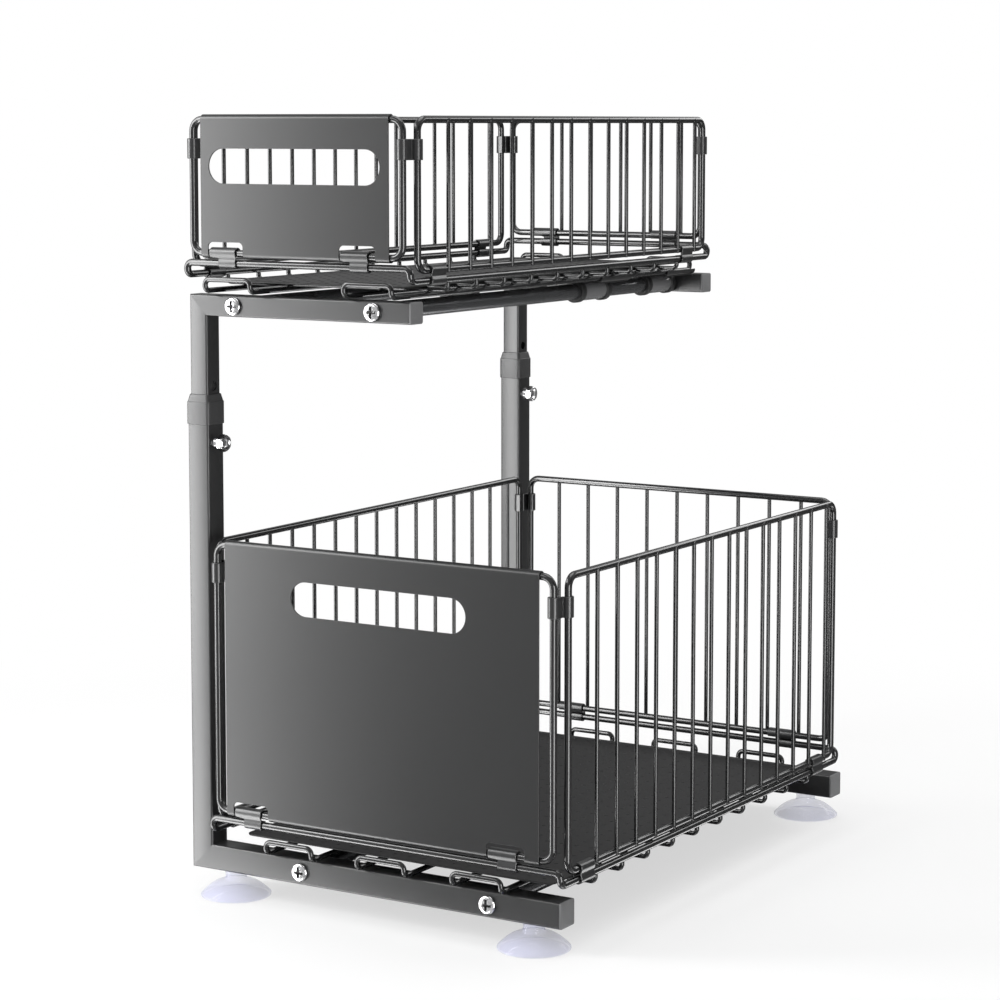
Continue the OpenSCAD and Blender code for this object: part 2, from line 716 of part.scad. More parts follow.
module side_hinges(tier) {
    color(clip_grey) to_origin() for (side = ends, y = side_clips)
        translate([ring_x(tier, side), y + side_hinge_w / 2, tier_z[tier] + ring_lift])
            rotate([90, 0, 0]) hinge_clip(side_hinge_w, side_hinge_w, seat);
}

// Plan of the clip at the front left corner, around the end panel's upright at [0, 0] and the
// side panel's upright at post. Both mouths open into the basket.
module corner_clip_plan(post) {
    outer = ring_r + turn_gap + strip_t;
    inner = ring_r + turn_gap;
    grip = ring_r + seat;
    hold = grip + strip_t;
    difference() {
        union() {
            circle(r = outer);
            translate([-outer, 0]) square([strip_t, post.y - grip]);
            translate([inner, 0]) square([strip_t, corner_leg]);
            translate(post) circle(r = hold);
            translate([post.x, post.y - hold]) square([-inner - post.x, strip_t]);
            translate([post.x, post.y + grip]) square([corner_leg, strip_t]);
        }
        circle(r = inner);
        translate([-inner, 0]) square([2 * inner, 2 * outer + post.y]);
        translate(post) circle(r = grip);
        translate([post.x, post.y - grip]) square([2 * hold, 2 * grip]);
    }
}

module corner_clips(tier) {
    post = [-panel_inset, side_inset];
    top = tier_z[tier] + tier_h[tier] - corner_clip_drop;
    color(clip_grey) to_origin() for (end = ends, side = ends)
        translate([panel_x(tier, side), end == 0 ? front_y : rear_y, top - corner_clip_h])
            mirror([side, 0, 0]) mirror([0, end, 0]) linear_extrude(corner_clip_h) corner_clip_plan(post);
}

// ---- Bearings ----

// Section of a bearing: a barrel around the rod and a saddle that hooks on to a pair of floor
// wires, drawn with the rod at [0, 0]
module bearing_section(wires, wire_up) {
    hook = rail_d / 2 + seat + hook_wall;
    mouth = wire_up + 0.2 * rail_d;
    difference() {
        union() {
            circle(d = rod_d + 2 * rod_fit + 2 * bearing_wall);
            translate([wires[0], wire_up - hook - web_t + web_lap]) square([wires[1] - wires[0], web_t]);
            for (x = wires) translate([x, wire_up]) circle(r = hook);
        }
        circle(r = rod_d / 2 + rod_fit);
        for (x = wires) {
            translate([x, wire_up]) circle(r = rail_d / 2 + seat);
            translate([x - hook, mouth]) square([2 * hook, hook]);
        }
    }
}

module bearings(tier, side) {
    x = tier_rods[tier][side];
    hoops = tier_hoops[tier];
    hoop = side == 0 ? hoops[0] : hoops[len(hoops) - 1];
    wires = [hoop - hoop_w / 2 - x, hoop + hoop_w / 2 - x];
    color(mat_black) to_origin() for (y = [front_bearing_y, rear_bearing_y])
        translate([x, 0, tier_z[tier] - tier_tube[tier] / 2]) along_y(y, bearing_len)
            bearing_section(wires, tier_tube[tier] / 2 + rail_up);
}

arm(LOWER, 0);  // base_front_arm
arm(LOWER, 1);  // base_rear_arm
outer_post(0);  // outer_front_post
outer_post(1);  // outer_rear_post
collar(0);  // front_collar
collar(1);  // rear_collar
end_caps(LOWER);  // base_end_caps
lock_bosses();
lock_bolt(0);  // front_lock_bolt
lock_bolt(1);  // rear_lock_bolt
slide_rod(LOWER, 0);  // base_left_rod
slide_rod(LOWER, 1);  // base_right_rod
rod_screws(LOWER);  // base_rod_screws
suction_cup(0, 0);  // cup_front_left
suction_cup(0, 1);  // cup_front_right
suction_cup(1, 0);  // cup_rear_left
suction_cup(1, 1);  // cup_rear_right
inner_post(0);  // inner_front_post
inner_post(1);  // inner_rear_post
arm(UPPER, 0);  // top_front_arm
arm(UPPER, 1);  // top_rear_arm
end_caps(UPPER);  // top_end_caps
slide_rod(UPPER, 0);  // top_left_rod
slide_rod(UPPER, 1);  // top_right_rod
rod_screws(UPPER);  // top_rod_screws
base_ring(LOWER);  // lower_base_ring
floor_rails(LOWER);  // lower_floor_rails
cross_wires(LOWER);  // lower_cross_wires
floor_mat(LOWER);  // lower_floor_mat
side_panel(LOWER, 0);  // lower_left_panel
side_panel(LOWER, 1);  // lower_right_panel
front_hinges(LOWER);  // lower_front_hinges
rear_hinges(LOWER);  // lower_rear_hinges
side_hinges(LOWER);  // lower_side_hinges
corner_clips(LOWER);  // lower_corner_clips
bearings(LOWER, 0);  // lower_left_bearings
bearings(LOWER, 1);  // lower_right_bearings
front_ring(LOWER);  // lower_front_ring
front_plate(LOWER);  // lower_front_plate
rear_panel(LOWER);  // lower_rear_panel
base_ring(UPPER);  // upper_base_ring
floor_rails(UPPER);  // upper_floor_rails
cross_wires(UPPER);  // upper_cross_wires
floor_mat(UPPER);  // upper_floor_mat
side_panel(UPPER, 0);  // upper_left_panel
side_panel(UPPER, 1);  // upper_right_panel
front_hinges(UPPER);  // upper_front_hinges
rear_hinges(UPPER);  // upper_rear_hinges
side_hinges(UPPER);  // upper_side_hinges
corner_clips(UPPER);  // upper_corner_clips
bearings(UPPER, 0);  // upper_left_bearings
bearings(UPPER, 1);  // upper_right_bearings
front_ring(UPPER);  // upper_front_ring
front_plate(UPPER);  // upper_front_plate
rear_panel(UPPER);  // upper_rear_panel
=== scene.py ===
import json
import math
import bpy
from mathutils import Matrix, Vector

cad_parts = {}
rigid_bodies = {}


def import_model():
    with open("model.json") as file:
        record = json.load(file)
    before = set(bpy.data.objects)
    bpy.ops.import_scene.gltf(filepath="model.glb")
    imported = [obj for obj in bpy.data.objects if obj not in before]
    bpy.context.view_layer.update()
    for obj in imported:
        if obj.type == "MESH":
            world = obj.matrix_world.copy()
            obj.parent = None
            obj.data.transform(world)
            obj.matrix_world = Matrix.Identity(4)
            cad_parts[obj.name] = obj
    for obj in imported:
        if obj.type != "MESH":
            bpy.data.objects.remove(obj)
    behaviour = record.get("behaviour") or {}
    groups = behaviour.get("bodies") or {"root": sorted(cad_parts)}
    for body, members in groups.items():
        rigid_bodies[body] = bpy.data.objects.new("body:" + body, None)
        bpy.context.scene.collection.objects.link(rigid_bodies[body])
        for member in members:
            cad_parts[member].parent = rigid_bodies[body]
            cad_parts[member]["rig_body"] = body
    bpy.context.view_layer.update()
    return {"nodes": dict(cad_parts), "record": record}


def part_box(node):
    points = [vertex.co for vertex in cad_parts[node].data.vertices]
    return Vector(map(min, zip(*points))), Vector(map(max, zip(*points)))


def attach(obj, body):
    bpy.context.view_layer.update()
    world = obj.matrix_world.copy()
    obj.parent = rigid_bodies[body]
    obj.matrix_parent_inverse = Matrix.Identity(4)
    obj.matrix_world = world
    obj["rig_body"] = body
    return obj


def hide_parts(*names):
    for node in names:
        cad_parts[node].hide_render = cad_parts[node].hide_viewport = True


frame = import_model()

from types import SimpleNamespace

import bmesh
import bpy
from bpy.props import FloatProperty, FloatVectorProperty, IntProperty, PointerProperty
from mathutils import Matrix, Vector

bl_info = {
    "name": "Pull-out cabinet basket",
    "version": (1, 0, 0),
    "blender": (4, 5, 0),
    "location": "3D View > Sidebar > Basket",
    "description": "Two-tier pull-out basket of square tube, wire and sheet, on suction cups",
    "category": "Mesh",
}

MM = 0.001
QUARTER = math.pi / 2
X, Y, Z = Vector((1, 0, 0)), Vector((0, 1, 0)), Vector((0, 0, 1))
SLOT_OF = {part["node"]: part["material_slot"] for part in frame["record"]["subparts"]}

# The baskets, with the word that names the arms and rods under each
TIERS = {"lower": "base", "upper": "top"}
ENDS = ("front", "rear")
SIDES = ("left", "right")

SEAT = 0.05 * MM        # Gap between a wire and the sheet that grips it
RIB_OUT = 1.6 * MM      # Distance of a rib's middle outside the middle of its panel's frame
THREAD_PITCH = 1 * MM
WHITE = (1, 1, 1, 1)


# ---- Sizes and colours that a user may change ----

def length(name, description, millimetres):
    """A length, given in millimetres and kept in metres."""
    return FloatProperty(
        name=name, description=description, default=millimetres * MM, unit="LENGTH")


def number(name, description, default, **options):
    """A plain number, or an angle in radians with its unit as an option."""
    return FloatProperty(name=name, description=description, default=default, **options)


def tint(name, description, *colour):
    """A colour, given as red, green and blue."""
    return FloatVectorProperty(
        name=name, description=description, default=colour, subtype="COLOR", size=3, min=0, max=1)


class TubeSizes(bpy.types.PropertyGroup):
    """Square tubes, collars and end caps of the frame"""
    wall: length("Wall", "Wall of the square tubes", 1.2)
    edge: length("Edge radius", "Outside radius along the tubes' edges", 1.5)
    hole: length("Height hole", "Diameter of the holes in the inner posts", 6.6)
    hole_pitch: length("Hole pitch", "Spacing of the holes in the inner posts", 40)
    holes: IntProperty(name="Holes", description="Number of holes in an inner post", default=4)
    collar_skirt: length("Collar skirt", "Height of the straight part of a collar", 16)
    cap_flange: length("Cap flange", "Thickness of an end cap's flange", 1.5)


class WireSizes(bpy.types.PropertyGroup):
    """Wires of the baskets"""
    rail: length("Floor rail", "Diameter of the long floor wires", 3.8)
    cross: length("Cross wire", "Diameter of the cross wires", 3.4)
    rib: length("Rib", "Diameter of the upright ribs", 3)
    panel_bend: length("Panel bend", "Bend radius of a panel frame's corners", 8)
    hoop: length("Hoop width", "Distance between the two wires that a hoop joins", 38.6)
    rib_start: length("First rib", "Distance of a side panel's first rib from its front wire", 35.7)
    rib_pitch: length("Rib pitch", "Spacing of the ribs", 27.5)
    side_ribs: IntProperty(
        name="Side ribs", description="Number of ribs in a side panel", default=14)
    crosses: IntProperty(
        name="Cross wires", description="Number of cross wires in a floor", default=10)


class SheetSizes(bpy.types.PropertyGroup):
    """Front plates and spring clips"""
    plate: length("Plate", "Thickness of the front plates", 1)
    slot_width: length("Slot width", "Width of a handle slot", 142)
    slot_height: length("Slot height", "Height of a handle slot", 24)
    slot_drop: length("Slot drop", "Distance of a slot's middle below the top wire", 32)
    notch_width: length("Notch width", "Width of a notch over a hinge clip", 29.5)
    notch_height: length("Notch height", "Height of a notch above the panel's lower wire", 7.6)
    notch_room: length("Notch room", "Room in a notch to the left of its hinge clip", 1)
    strip: length("Strip", "Thickness of the clips' strip", 1.2)
    hinge_neck: length("Hinge neck", "Width of an end hinge clip at the base ring", 14.5)
    turn_gap: length("Turning gap", "Gap between a clip and a wire that turns in it", 0.3)


class FinishColours(bpy.types.PropertyGroup):
    """Colours of the coats, plastics and steel"""
    tube: tint("Tube", "Powder coat of the square tubes", 0.022, 0.0223, 0.023)
    cap: tint("Cap", "Plastic of the end caps, collars and sleeves", 0.18, 0.181, 0.185)
    plate: tint("Plate", "Coat of the front plates", 0.014, 0.0143, 0.0147)
    wire: tint("Wire", "Coat of the wires", 0.012, 0.0123, 0.013)
    clip: tint("Clip", "Coat of the spring clips", 0.022, 0.0225, 0.0235)
    mat: tint("Mat", "Plastic of the floor mats and bearing ends", 0.006, 0.006, 0.0065)
    steel: tint("Steel", "Bright screws and bolts", 0.76, 0.76, 0.77)
    cup: tint("Suction cup", "Clear soft plastic", 0.6, 0.62, 0.93)


class StageSizes(bpy.types.PropertyGroup):
    """Camera and lamps"""
    camera_at: FloatVectorProperty(
        name="Camera", description="Place of the camera", subtype="TRANSLATION", size=3,
        default=(1.0468, -1.7573, 0.5477))
    camera_turn: number("Camera turn", "Turn of the camera to the left of straight ahead",
                        math.radians(31.577), unit="ROTATION")
    camera_dip: number("Camera dip", "Dip of the camera below level", math.radians(5.701),
                       unit="ROTATION")
    lens: number("Lens", "Focal length in millimetres on a sensor 36 mm wide", 99.46)
    shift: number("Shift", "Upward shift of the picture that frames the rack", -0.1)
    ambient: number("Ambient light", "Strength of the light from all round", 0.55)


def settings():
    """The property groups of this scene."""
    return bpy.context.scene.basket_rack


# ---- Objects and meshes ----

def put(name, data):
    """Adds an object to the scene."""
    thing = bpy.data.objects.new(name, data)
    bpy.context.scene.collection.objects.link(thing)
    return thing


def baked(thing):
    """The mesh that an object's curve or modifiers make. The object itself goes."""
    graph = bpy.context.evaluated_depsgraph_get()
    mesh = bpy.data.meshes.new_from_object(thing.evaluated_get(graph))
    bpy.data.objects.remove(thing)
    return mesh


def shade(mesh, sharp=32):
    """Shades a mesh smooth but for edges sharper than an angle in degrees."""
    mesh.shade_smooth()
    mesh.set_sharp_from_angle(angle=math.radians(sharp))
    return mesh


def mesh_of(name, bm, sharp=32):
    """Turns the bmesh into a shaded mesh."""
    bmesh.ops.remove_doubles(bm, verts=bm.verts, dist=1e-7)
    bmesh.ops.recalc_face_normals(bm, faces=bm.faces)
    mesh = bpy.data.meshes.new(name)
    bm.to_mesh(mesh)
    bm.free()
    return shade(mesh, sharp)


def with_modifiers(mesh, *stack):
    """The mesh after modifiers, each given as its type and a dictionary of its settings."""
    holder = put("holder", mesh)
    for kind, values in stack:
        modifier = holder.modifiers.new(kind, kind)
        for key, value in values.items():
            setattr(modifier, key, value)
    return baked(holder)


def cut_away(mesh, cutter):
    """The mesh without the cutter's space."""
    tool = put("cutter", cutter)
    result = with_modifiers(mesh, ("BOOLEAN", {"object": tool, "operation": "DIFFERENCE"}))
    bpy.data.objects.remove(tool)
    return result


def rounded_edges(mesh, width):
    """The mesh with its sharp edges rounded and its flat faces kept flat in the shading."""
    return with_modifiers(
        mesh,
        ("BEVEL", {"width": width, "segments": 2, "limit_method": "ANGLE",
                   "angle_limit": math.radians(40), "use_clamp_overlap": True}),
        ("WEIGHTED_NORMAL", {"keep_sharp": True}))


def evenly(first, last, number):
    """A number of places from first to last, evenly spaced."""
    return [first + k * (last - first) / (number - 1) for k in range(number)]


def around(centre, u, v, radius, turn):
    """The point of a circle at a turn from u towards v."""
    return centre + radius * (math.cos(turn) * u + math.sin(turn) * v)


def arc(centre, u, v, radius, start, end, steps):
    """Points of an arc, its angles in degrees from u towards v."""
    return [around(centre, u, v, radius, math.radians(start + (end - start) * k / steps))
            for k in range(steps + 1)]


def rounded_plan(width, depth, inset, corner, steps=5):
    """Plan of a rectangle from the origin with round corners, drawn inset from its outline."""
    near, right, back = inset + corner, width - inset - corner, depth - inset - corner
    plan = []
    for k, (a, b) in enumerate(((right, back), (near, back), (near, near), (right, near))):
        for i in range(steps + 1):
            turn = QUARTER * (k + i / steps)
            plan.append((a + corner * math.cos(turn), b + corner * math.sin(turn)))
    return plan


def plan_rings(low, width, depth, levels, steps=5):
    """Rounded plans on a corner, one for each level's height, inset and corner radius."""
    return [[Vector((low.x + a, low.y + b, z))
             for a, b in rounded_plan(width, depth, inset, corner, steps)]
            for z, inset, corner in levels]


def loft(bm, rings, closed=False):
    """Skins rings of equally many points. A closed loft joins the last to the first."""
    loops = [[bm.verts.new(point) for point in ring] for ring in rings]
    pairs = list(zip(loops, loops[1:]))
    if closed:
        pairs.append((loops[-1], loops[0]))
    else:
        bm.faces.new(loops[0][::-1])
        bm.faces.new(loops[-1])
    for a, b in pairs:
        for i in range(len(a)):
            j = (i + 1) % len(a)
            bm.faces.new((a[i], a[j], b[j], b[i]))


def prism(name, outline, axis, start, end):
    """Mesh of an outline that is drawn out along an axis."""
    bm = bmesh.new()
    loft(bm, [[p + reach * axis for p in outline] for reach in (start, end)])
    return mesh_of(name, bm)


def lathe(bm, base, axis, profile, steps=48, bore=False):
    """Turns a profile of (radius, height) round an axis that starts at base. One with a bore
    closes on itself."""
    u = axis.orthogonal().normalized()
    v = axis.cross(u)
    turns = [2 * math.pi * k / steps for k in range(steps)]
    loft(bm, [[around(base + h * axis, u, v, max(r, 1e-6), turn) for turn in turns]
              for r, h in profile], closed=bore)


def bend_line(corners, bend, closed=False, steps=8):
    """The line through square corners, each rounded to one bend radius."""
    corners = [Vector(corner) for corner in corners]
    turns = [QUARTER * k / steps for k in range(steps + 1)]
    line = []
    for i, p in enumerate(corners):
        if not closed and i in (0, len(corners) - 1):
            points = [p]
        else:
            back = (corners[i - 1] - p).normalized()
            ahead = (corners[(i + 1) % len(corners)] - p).normalized()
            points = [p + bend * ((1 - math.sin(t)) * back + (1 - math.cos(t)) * ahead)
                      for t in turns]
        line += [q for q in points if not line or (q - line[-1]).length > 1e-6]
    if closed and (line[0] - line[-1]).length < 1e-6:
        line.pop()
    return [(q, 1.0) for q in line]


def domed_line(a, b, diameter, steps=4):
    """A straight wire from a to b with slightly domed ends."""
    along = (b - a).normalized()
    dome, least = 0.35 * diameter, 0.25
    turns = [QUARTER * k / steps for k in range(1, steps + 1)]
    tip = [(dome * (1 - math.sin(t)), max(least, math.cos(t) ** 0.5)) for t in turns]
    start = [(a + into * along, factor) for into, factor in reversed(tip)]
    end = [(b - into * along, factor) for into, factor in tip]
    return start + [(a + dome * along, 1.0), (b - dome * along, 1.0)] + end


def wire_mesh(name, wires, beads=(), bead=(0, 0, 0)):
    """Round wires, each a line of (point, width factor), its diameter and whether it is closed,
    with weld beads of one size at the given points."""
    bm = bmesh.new()
    for line, diameter, closed in wires:
        curve = bpy.data.curves.new(name, "CURVE")
        curve.dimensions = "3D"
        curve.bevel_depth = diameter / 2
        curve.bevel_resolution = 6
        curve.use_fill_caps = True
        spline = curve.splines.new("POLY")
        spline.points.add(len(line) - 1)
        for target, (point, factor) in zip(spline.points, line):
            target.co = (*point, 1)
            target.radius = factor
        spline.use_cyclic_u = closed
        tube = baked(put(name, curve))
        bm.from_mesh(tube)
        bpy.data.curves.remove(curve)
        bpy.data.meshes.remove(tube)
    for point in beads:
        place = Matrix.Translation(point) @ Matrix.Diagonal((*bead, 1))
        bmesh.ops.create_icosphere(bm, subdivisions=2, radius=1, matrix=place)
    return mesh_of(name, bm, sharp=50)


def heading(line, i):
    """Direction of a line at one of its points."""
    return (line[min(i + 1, len(line) - 1)] - line[max(i - 1, 0)]).normalized()


def strip_piece(bm, line, thickness, along, start, width, lows=None):
    """A strip of sheet metal that follows a line in a plane, with its edges rounded. Its width
    runs from start along the plane's normal. Lows say where it begins at each point."""
    rim = 0.22 * thickness
    half = thickness / 2
    rings = []
    for i, p in enumerate(line):
        out = heading(line, i).cross(along)
        low = lows[i] if lows else 0
        section = [(low, half - rim), (low + rim, half), (width - rim, half), (width, half - rim),
                   (width, rim - half), (width - rim, -half), (low + rim, -half), (low, rim - half)]
        rings.append([p + (start + w) * along + t * out for w, t in section])
    loft(bm, rings)


def two_finishes(mesh, first, second, picked):
    """Gives a mesh two finishes, the second on the faces whose middle passes a test."""
    mesh.materials.append(first())
    mesh.materials.append(second())
    for face in mesh.polygons:
        face.material_index = 1 if picked(face.center) else 0


def show(node, kind, mesh):
    """Shows a mesh in place of a node, on its body and in its finish."""
    slot = SLOT_OF[node]
    if not mesh.materials:
        mesh.materials.append(FINISHES[slot]())
    piece = put(f"{node}_{kind}", mesh)
    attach(piece, frame["nodes"][node]["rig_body"])
    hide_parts(node)


def middle(node):
    """Centre of a node's box."""
    low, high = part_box(node)
    return (low + high) / 2


# ---- Finishes ----

def feed(tree, node, inputs):
    """Sets a shader node's inputs, each to a value or to the output that feeds it."""
    for key, value in inputs.items():
        if isinstance(value, bpy.types.NodeSocket):
            tree.links.new(value, node.inputs[key])
        else:
            node.inputs[key].default_value = value


def add_node(tree, kind, inputs=None, **options):
    """Adds a shader node with its options and inputs."""
    node = tree.nodes.new(f"ShaderNode{kind}")
    for key, value in options.items():
        setattr(node, key, value)
    feed(tree, node, inputs or {})
    return node


def noise(tree, scale, detail):
    """Output of a noise that stays with the object."""
    place = add_node(tree, "TexCoord").outputs["Object"]
    return add_node(
        tree, "TexNoise", {"Scale": scale, "Detail": detail, "Vector": place}).outputs["Fac"]


def finish(name, tones, drift, gloss, grain, relief=None, more=None):
    """A finish, made once. A noise of (scale, detail, start, end) moves its colour between two
    tones. A noise of (scale, detail) moves its roughness between two values, and makes its relief
    of (strength, depth)."""
    material = bpy.data.materials.get(name)
    if material:
        return material
    material = bpy.data.materials.new(name)
    material.use_nodes = True
    tree = material.node_tree
    shader = tree.nodes["Principled BSDF"]
    scale, detail, *stops = drift
    ramp = add_node(tree, "ValToRGB", {"Fac": noise(tree, scale, detail)})
    for element, position, tone in zip(ramp.color_ramp.elements, stops, tones):
        element.position = position
        element.color = (*tone, 1)
    skin = noise(tree, *grain)
    spread = add_node(tree, "MapRange", {"Value": skin, "To Min": gloss[0], "To Max": gloss[1]})
    feed(tree, shader, {"Base Color": ramp.outputs["Color"], "Roughness": spread.outputs["Result"]})
    if relief:
        bump = add_node(tree, "Bump", {"Height": skin, "Strength": relief[0], "Distance": relief[1]})
        feed(tree, shader, {"Normal": bump.outputs["Normal"]})
    feed(tree, shader, more or {})
    return material


def shades(colour, *shares):
    """Darker or lighter shades of a colour."""
    return [[share * c for c in colour] for share in shares]


def coat(name, colour, roughness, grain, relief, mottle=0.08, clear=0.0, **more):
    """Paint or plastic: the colour drifts a little, and the skin has fine orange peel. Clear is
    the share of a glossy coat on top."""
    return finish(
        name, shades(colour, 1 - mottle, 1 + mottle), (35, 4, 0.3, 0.7),
        (0.9 * roughness, 1.1 * roughness), (grain, 3), (relief, 0.05 * MM),
        {"Coat Weight": clear, "Coat Roughness": 0.12, **more})


def tube_coat():
    """Satin grey powder coat of the square tubes."""
    return coat("Tube_coat", settings().colours.tube, 0.34, 1400, 0.1,
                **{"Specular IOR Level": 0.6})


def painted_shade_inside():
    """Painted shade: near black on the inside faces of the tubes, where shade falls."""
    return coat("Painted_shade_inside", (0.008, 0.008, 0.008), 0.75, 900, 0.2)


def cap_plastic():
    """Fine-grained grey plastic of the end caps."""
    return coat("Cap_plastic", settings().colours.cap, 0.46, 2200, 0.5)


def collar_plastic():
    """Darker plastic of the collars."""
    return coat("Collar_plastic", *shades(settings().colours.cap, 0.3), 0.4, 2200, 0.3)


def plate_coat():
    """Smooth satin gunmetal coat of the front plates."""
    return coat("Plate_coat", settings().colours.plate, 0.31, 1100, 0.04, mottle=0.03)


def wire_coat():
    """Glossy dark grey coat of the wires."""
    return coat("Wire_coat", settings().colours.wire, 0.2, 260, 0.01, clear=0.3)


def rod_plating():
    """Dark, glossy plated finish of the slide rods."""
    return coat("Rod_plating", (0.16, 0.162, 0.168), 0.2, 200, 0, Metallic=0.75)


def clip_coat():
    """Semi-gloss dark coat of the spring clips."""
    return coat("Clip_coat", settings().colours.clip, 0.3, 1500, 0.15, clear=0.15)


def black_plastic():
    """Matt black plastic of the mats and the bearing ends."""
    return coat("Black_plastic", settings().colours.mat, 0.6, 1800, 0.6)


def sleeve_plastic():
    """Grey plastic of the bearing sleeves."""
    return coat("Sleeve_plastic", settings().colours.cap, 0.24, 1800, 0.05, clear=1)


def bright_steel(name="Bright_steel", share=1.0):
    """Bright plated steel with faint turning marks. A share below 1 darkens it, which the screws'
    recesses use as painted shade.
    """
    return finish(name, shades(settings().colours.steel, 0.62 * share, share),
                  (700, 5, 0.36, 0.56), (0.14, 0.24), (700, 5), more={"Metallic": 1})


def recess_painted_shade_steel():
    """Painted shade: a darker copy of the bright steel inside the screws' recesses, where shade falls.
    """
    return bright_steel("Painted_shade_steel", 0.25)


def soft_pvc():
    """Clear soft plastic with a blue tint and a slightly wavy skin."""
    return finish("Soft_pvc", shades(settings().colours.cup, 0.94, 1), (120, 3, 0, 1),
                  (0.06, 0.14), (120, 3), (0.25, 0.2 * MM), {"Alpha": 0.25})


FINISHES = {
    "tube_coat": tube_coat, "cap_plastic": cap_plastic, "plate_coat": plate_coat,
    "wire_coat": wire_coat, "clip_coat": clip_coat, "black_plastic": black_plastic,
    "bright_steel": bright_steel, "soft_pvc": soft_pvc,
}


# ---- Frame ----

def square_tube(node, run, start=0, end=0):
    """Square tube in a node's box. It runs along X (run 0) or Z (run 2). A mitred end leans
    by the tube's side: 1 and -1 are the two ways to lean, 0 is square."""
    sizes = settings().tubes
    low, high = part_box(node)
    side = high.y - low.y
    across = 2 - run

    def ring(inset, corner, lean, far):
        """Points round the near or far end of the tube, on the outside or inside of its wall."""
        points = []
        for a, b in rounded_plan(side, side, inset, corner):
            mitre = {0: 0, 1: b, -1: side - b}[lean]
            point = Vector((0, low.y + a, 0))
            point[across] = low[across] + b
            point[run] = high[run] - mitre if far else low[run] + mitre
            points.append(point)
        return points

    outside = (0, sizes.edge)
    inside = (sizes.wall, max(sizes.edge - sizes.wall, 0.4 * MM))
    bm = bmesh.new()
    loft(bm, [ring(*outside, start, False), ring(*outside, end, True),
              ring(*inside, end, True), ring(*inside, start, False)], closed=True)
    return mesh_of(node, bm)


def collar(end):
    """Plastic collar with sloping shoulders round the top of an outer post."""
    node = f"{end}_collar"
    sizes = settings().tubes
    low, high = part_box(node)
    post_low, post_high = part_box(f"outer_{end}_post")
    side = high.x - low.x
    wall = post_low.x - low.x
    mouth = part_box(f"inner_{end}_post")[0].x - low.x
    lip, slide, bore = mouth - 0.9 * MM, mouth - 0.3 * MM, wall - 0.04 * MM
    skirt = low.z + sizes.collar_skirt
    edge, inner_edge, rim = sizes.edge + wall, 1.2 * MM, 0.35 * MM
    levels = [
        (low.z, rim, edge), (low.z + rim, 0, edge), (skirt - rim, 0, edge),
        (skirt, 0.15 * rim, edge), (skirt + rim, rim, edge),
        (high.z - rim, lip - 0.3 * rim, edge), (high.z, lip + 0.6 * rim, edge),
        (high.z, slide, inner_edge), (post_high.z, slide, inner_edge),
        (post_high.z, bore, inner_edge), (low.z, bore, inner_edge)]
    bm = bmesh.new()
    loft(bm, plan_rings(low, side, side, levels), closed=True)
    mesh = mesh_of(node, bm, sharp=20)
    mesh.materials.append(collar_plastic())
    show(node, "shell", mesh)


def end_caps(tier):
    """Plastic caps with a flange and a ribbed plug in the ends of a tier's arms."""
    word = TIERS[tier]
    node = f"{word}_end_caps"
    sizes = settings().tubes
    low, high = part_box(node)
    joint = high.x - sizes.cap_flange
    plug, rim = sizes.wall + 0.1 * MM, 0.45 * MM
    levels = [(low.x, plug + 0.6 * MM), (low.x + 1.5 * MM, plug)]
    ribs, first_rib, rib_pitch = 3, 3 * MM, 2.5 * MM
    for k in range(ribs):
        at = low.x + first_rib + k * rib_pitch
        levels += [(at, plug), (at + 0.3 * MM, plug - 0.05 * MM), (at + 0.9 * MM, plug)]
    levels += [(joint, plug), (joint + 0.01 * MM, 0.25 * MM), (joint + 0.25 * MM, 0),
               (high.x - rim, 0), (high.x - 0.3 * rim, 0.3 * rim), (high.x, rim)]
    bm = bmesh.new()
    for end in ENDS:
        arm_low, arm_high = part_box(f"{word}_{end}_arm")
        side = arm_high.z - arm_low.z
        rings = []
        for x, inset in levels:
            corner = sizes.edge if inset < 0.5 * MM else 0.8 * MM
            plan = rounded_plan(side, side, inset, corner)
            rings.append([Vector((x, arm_low.y + a, arm_low.z + b)) for a, b in plan])
        loft(bm, rings)
    show(node, "moulded", mesh_of(node, bm, sharp=25))


def inner_post(end):
    """Inner post with a row of round height holes, and its inside faces painted near black as shade.
    """
    node = f"inner_{end}_post"
    sizes = settings().tubes
    low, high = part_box(node)
    centre = middle(node)
    bolt = middle(f"{end}_lock_bolt")
    reach = 2 * MM
    drill = [(sizes.hole / 2, 0), (sizes.hole / 2, high.x - low.x + 2 * reach)]
    holes_above_bolt = 1
    holes_below_bolt = sizes.holes - 1 - holes_above_bolt
    bm = bmesh.new()
    for k in range(sizes.holes):
        z = bolt.z + (k - holes_below_bolt) * sizes.hole_pitch
        lathe(bm, Vector((low.x - reach, centre.y, z)), X, drill)
    mesh = shade(cut_away(square_tube(node, run=2, end=1), mesh_of("holes", bm)))
    # Faces nearer the axis than the inner wall are the inside, which takes the painted shade.
    inside = (high.y - low.y) / 2 - sizes.wall + 0.02 * MM
    two_finishes(mesh, tube_coat, painted_shade_inside,
                 lambda at: max(abs(at.x - centre.x), abs(at.y - centre.y)) < inside)
    show(node, "tube", mesh)


class BASKET_OT_frame_tubes(bpy.types.Operator):
    """Build the arms and posts of the frame"""
    bl_idname = "basket.frame_tubes"
    bl_label = "Frame tubes"

    def execute(self, context):
        for end in ENDS:
            for node, run, start in ((f"base_{end}_arm", 0, 1), (f"top_{end}_arm", 0, -1),
                                     (f"outer_{end}_post", 2, 1)):
                show(node, "tube", square_tube(node, run, start))
            inner_post(end)
        return {"FINISHED"}


class BASKET_OT_mouldings(bpy.types.Operator):
    """Build the plastic collars and end caps"""
    bl_idname = "basket.mouldings"
    bl_label = "Collars and end caps"

    def execute(self, context):
        for end in ENDS:
            collar(end)
        for tier in TIERS:
            end_caps(tier)
        return {"FINISHED"}


# ---- Fasteners and rods ----

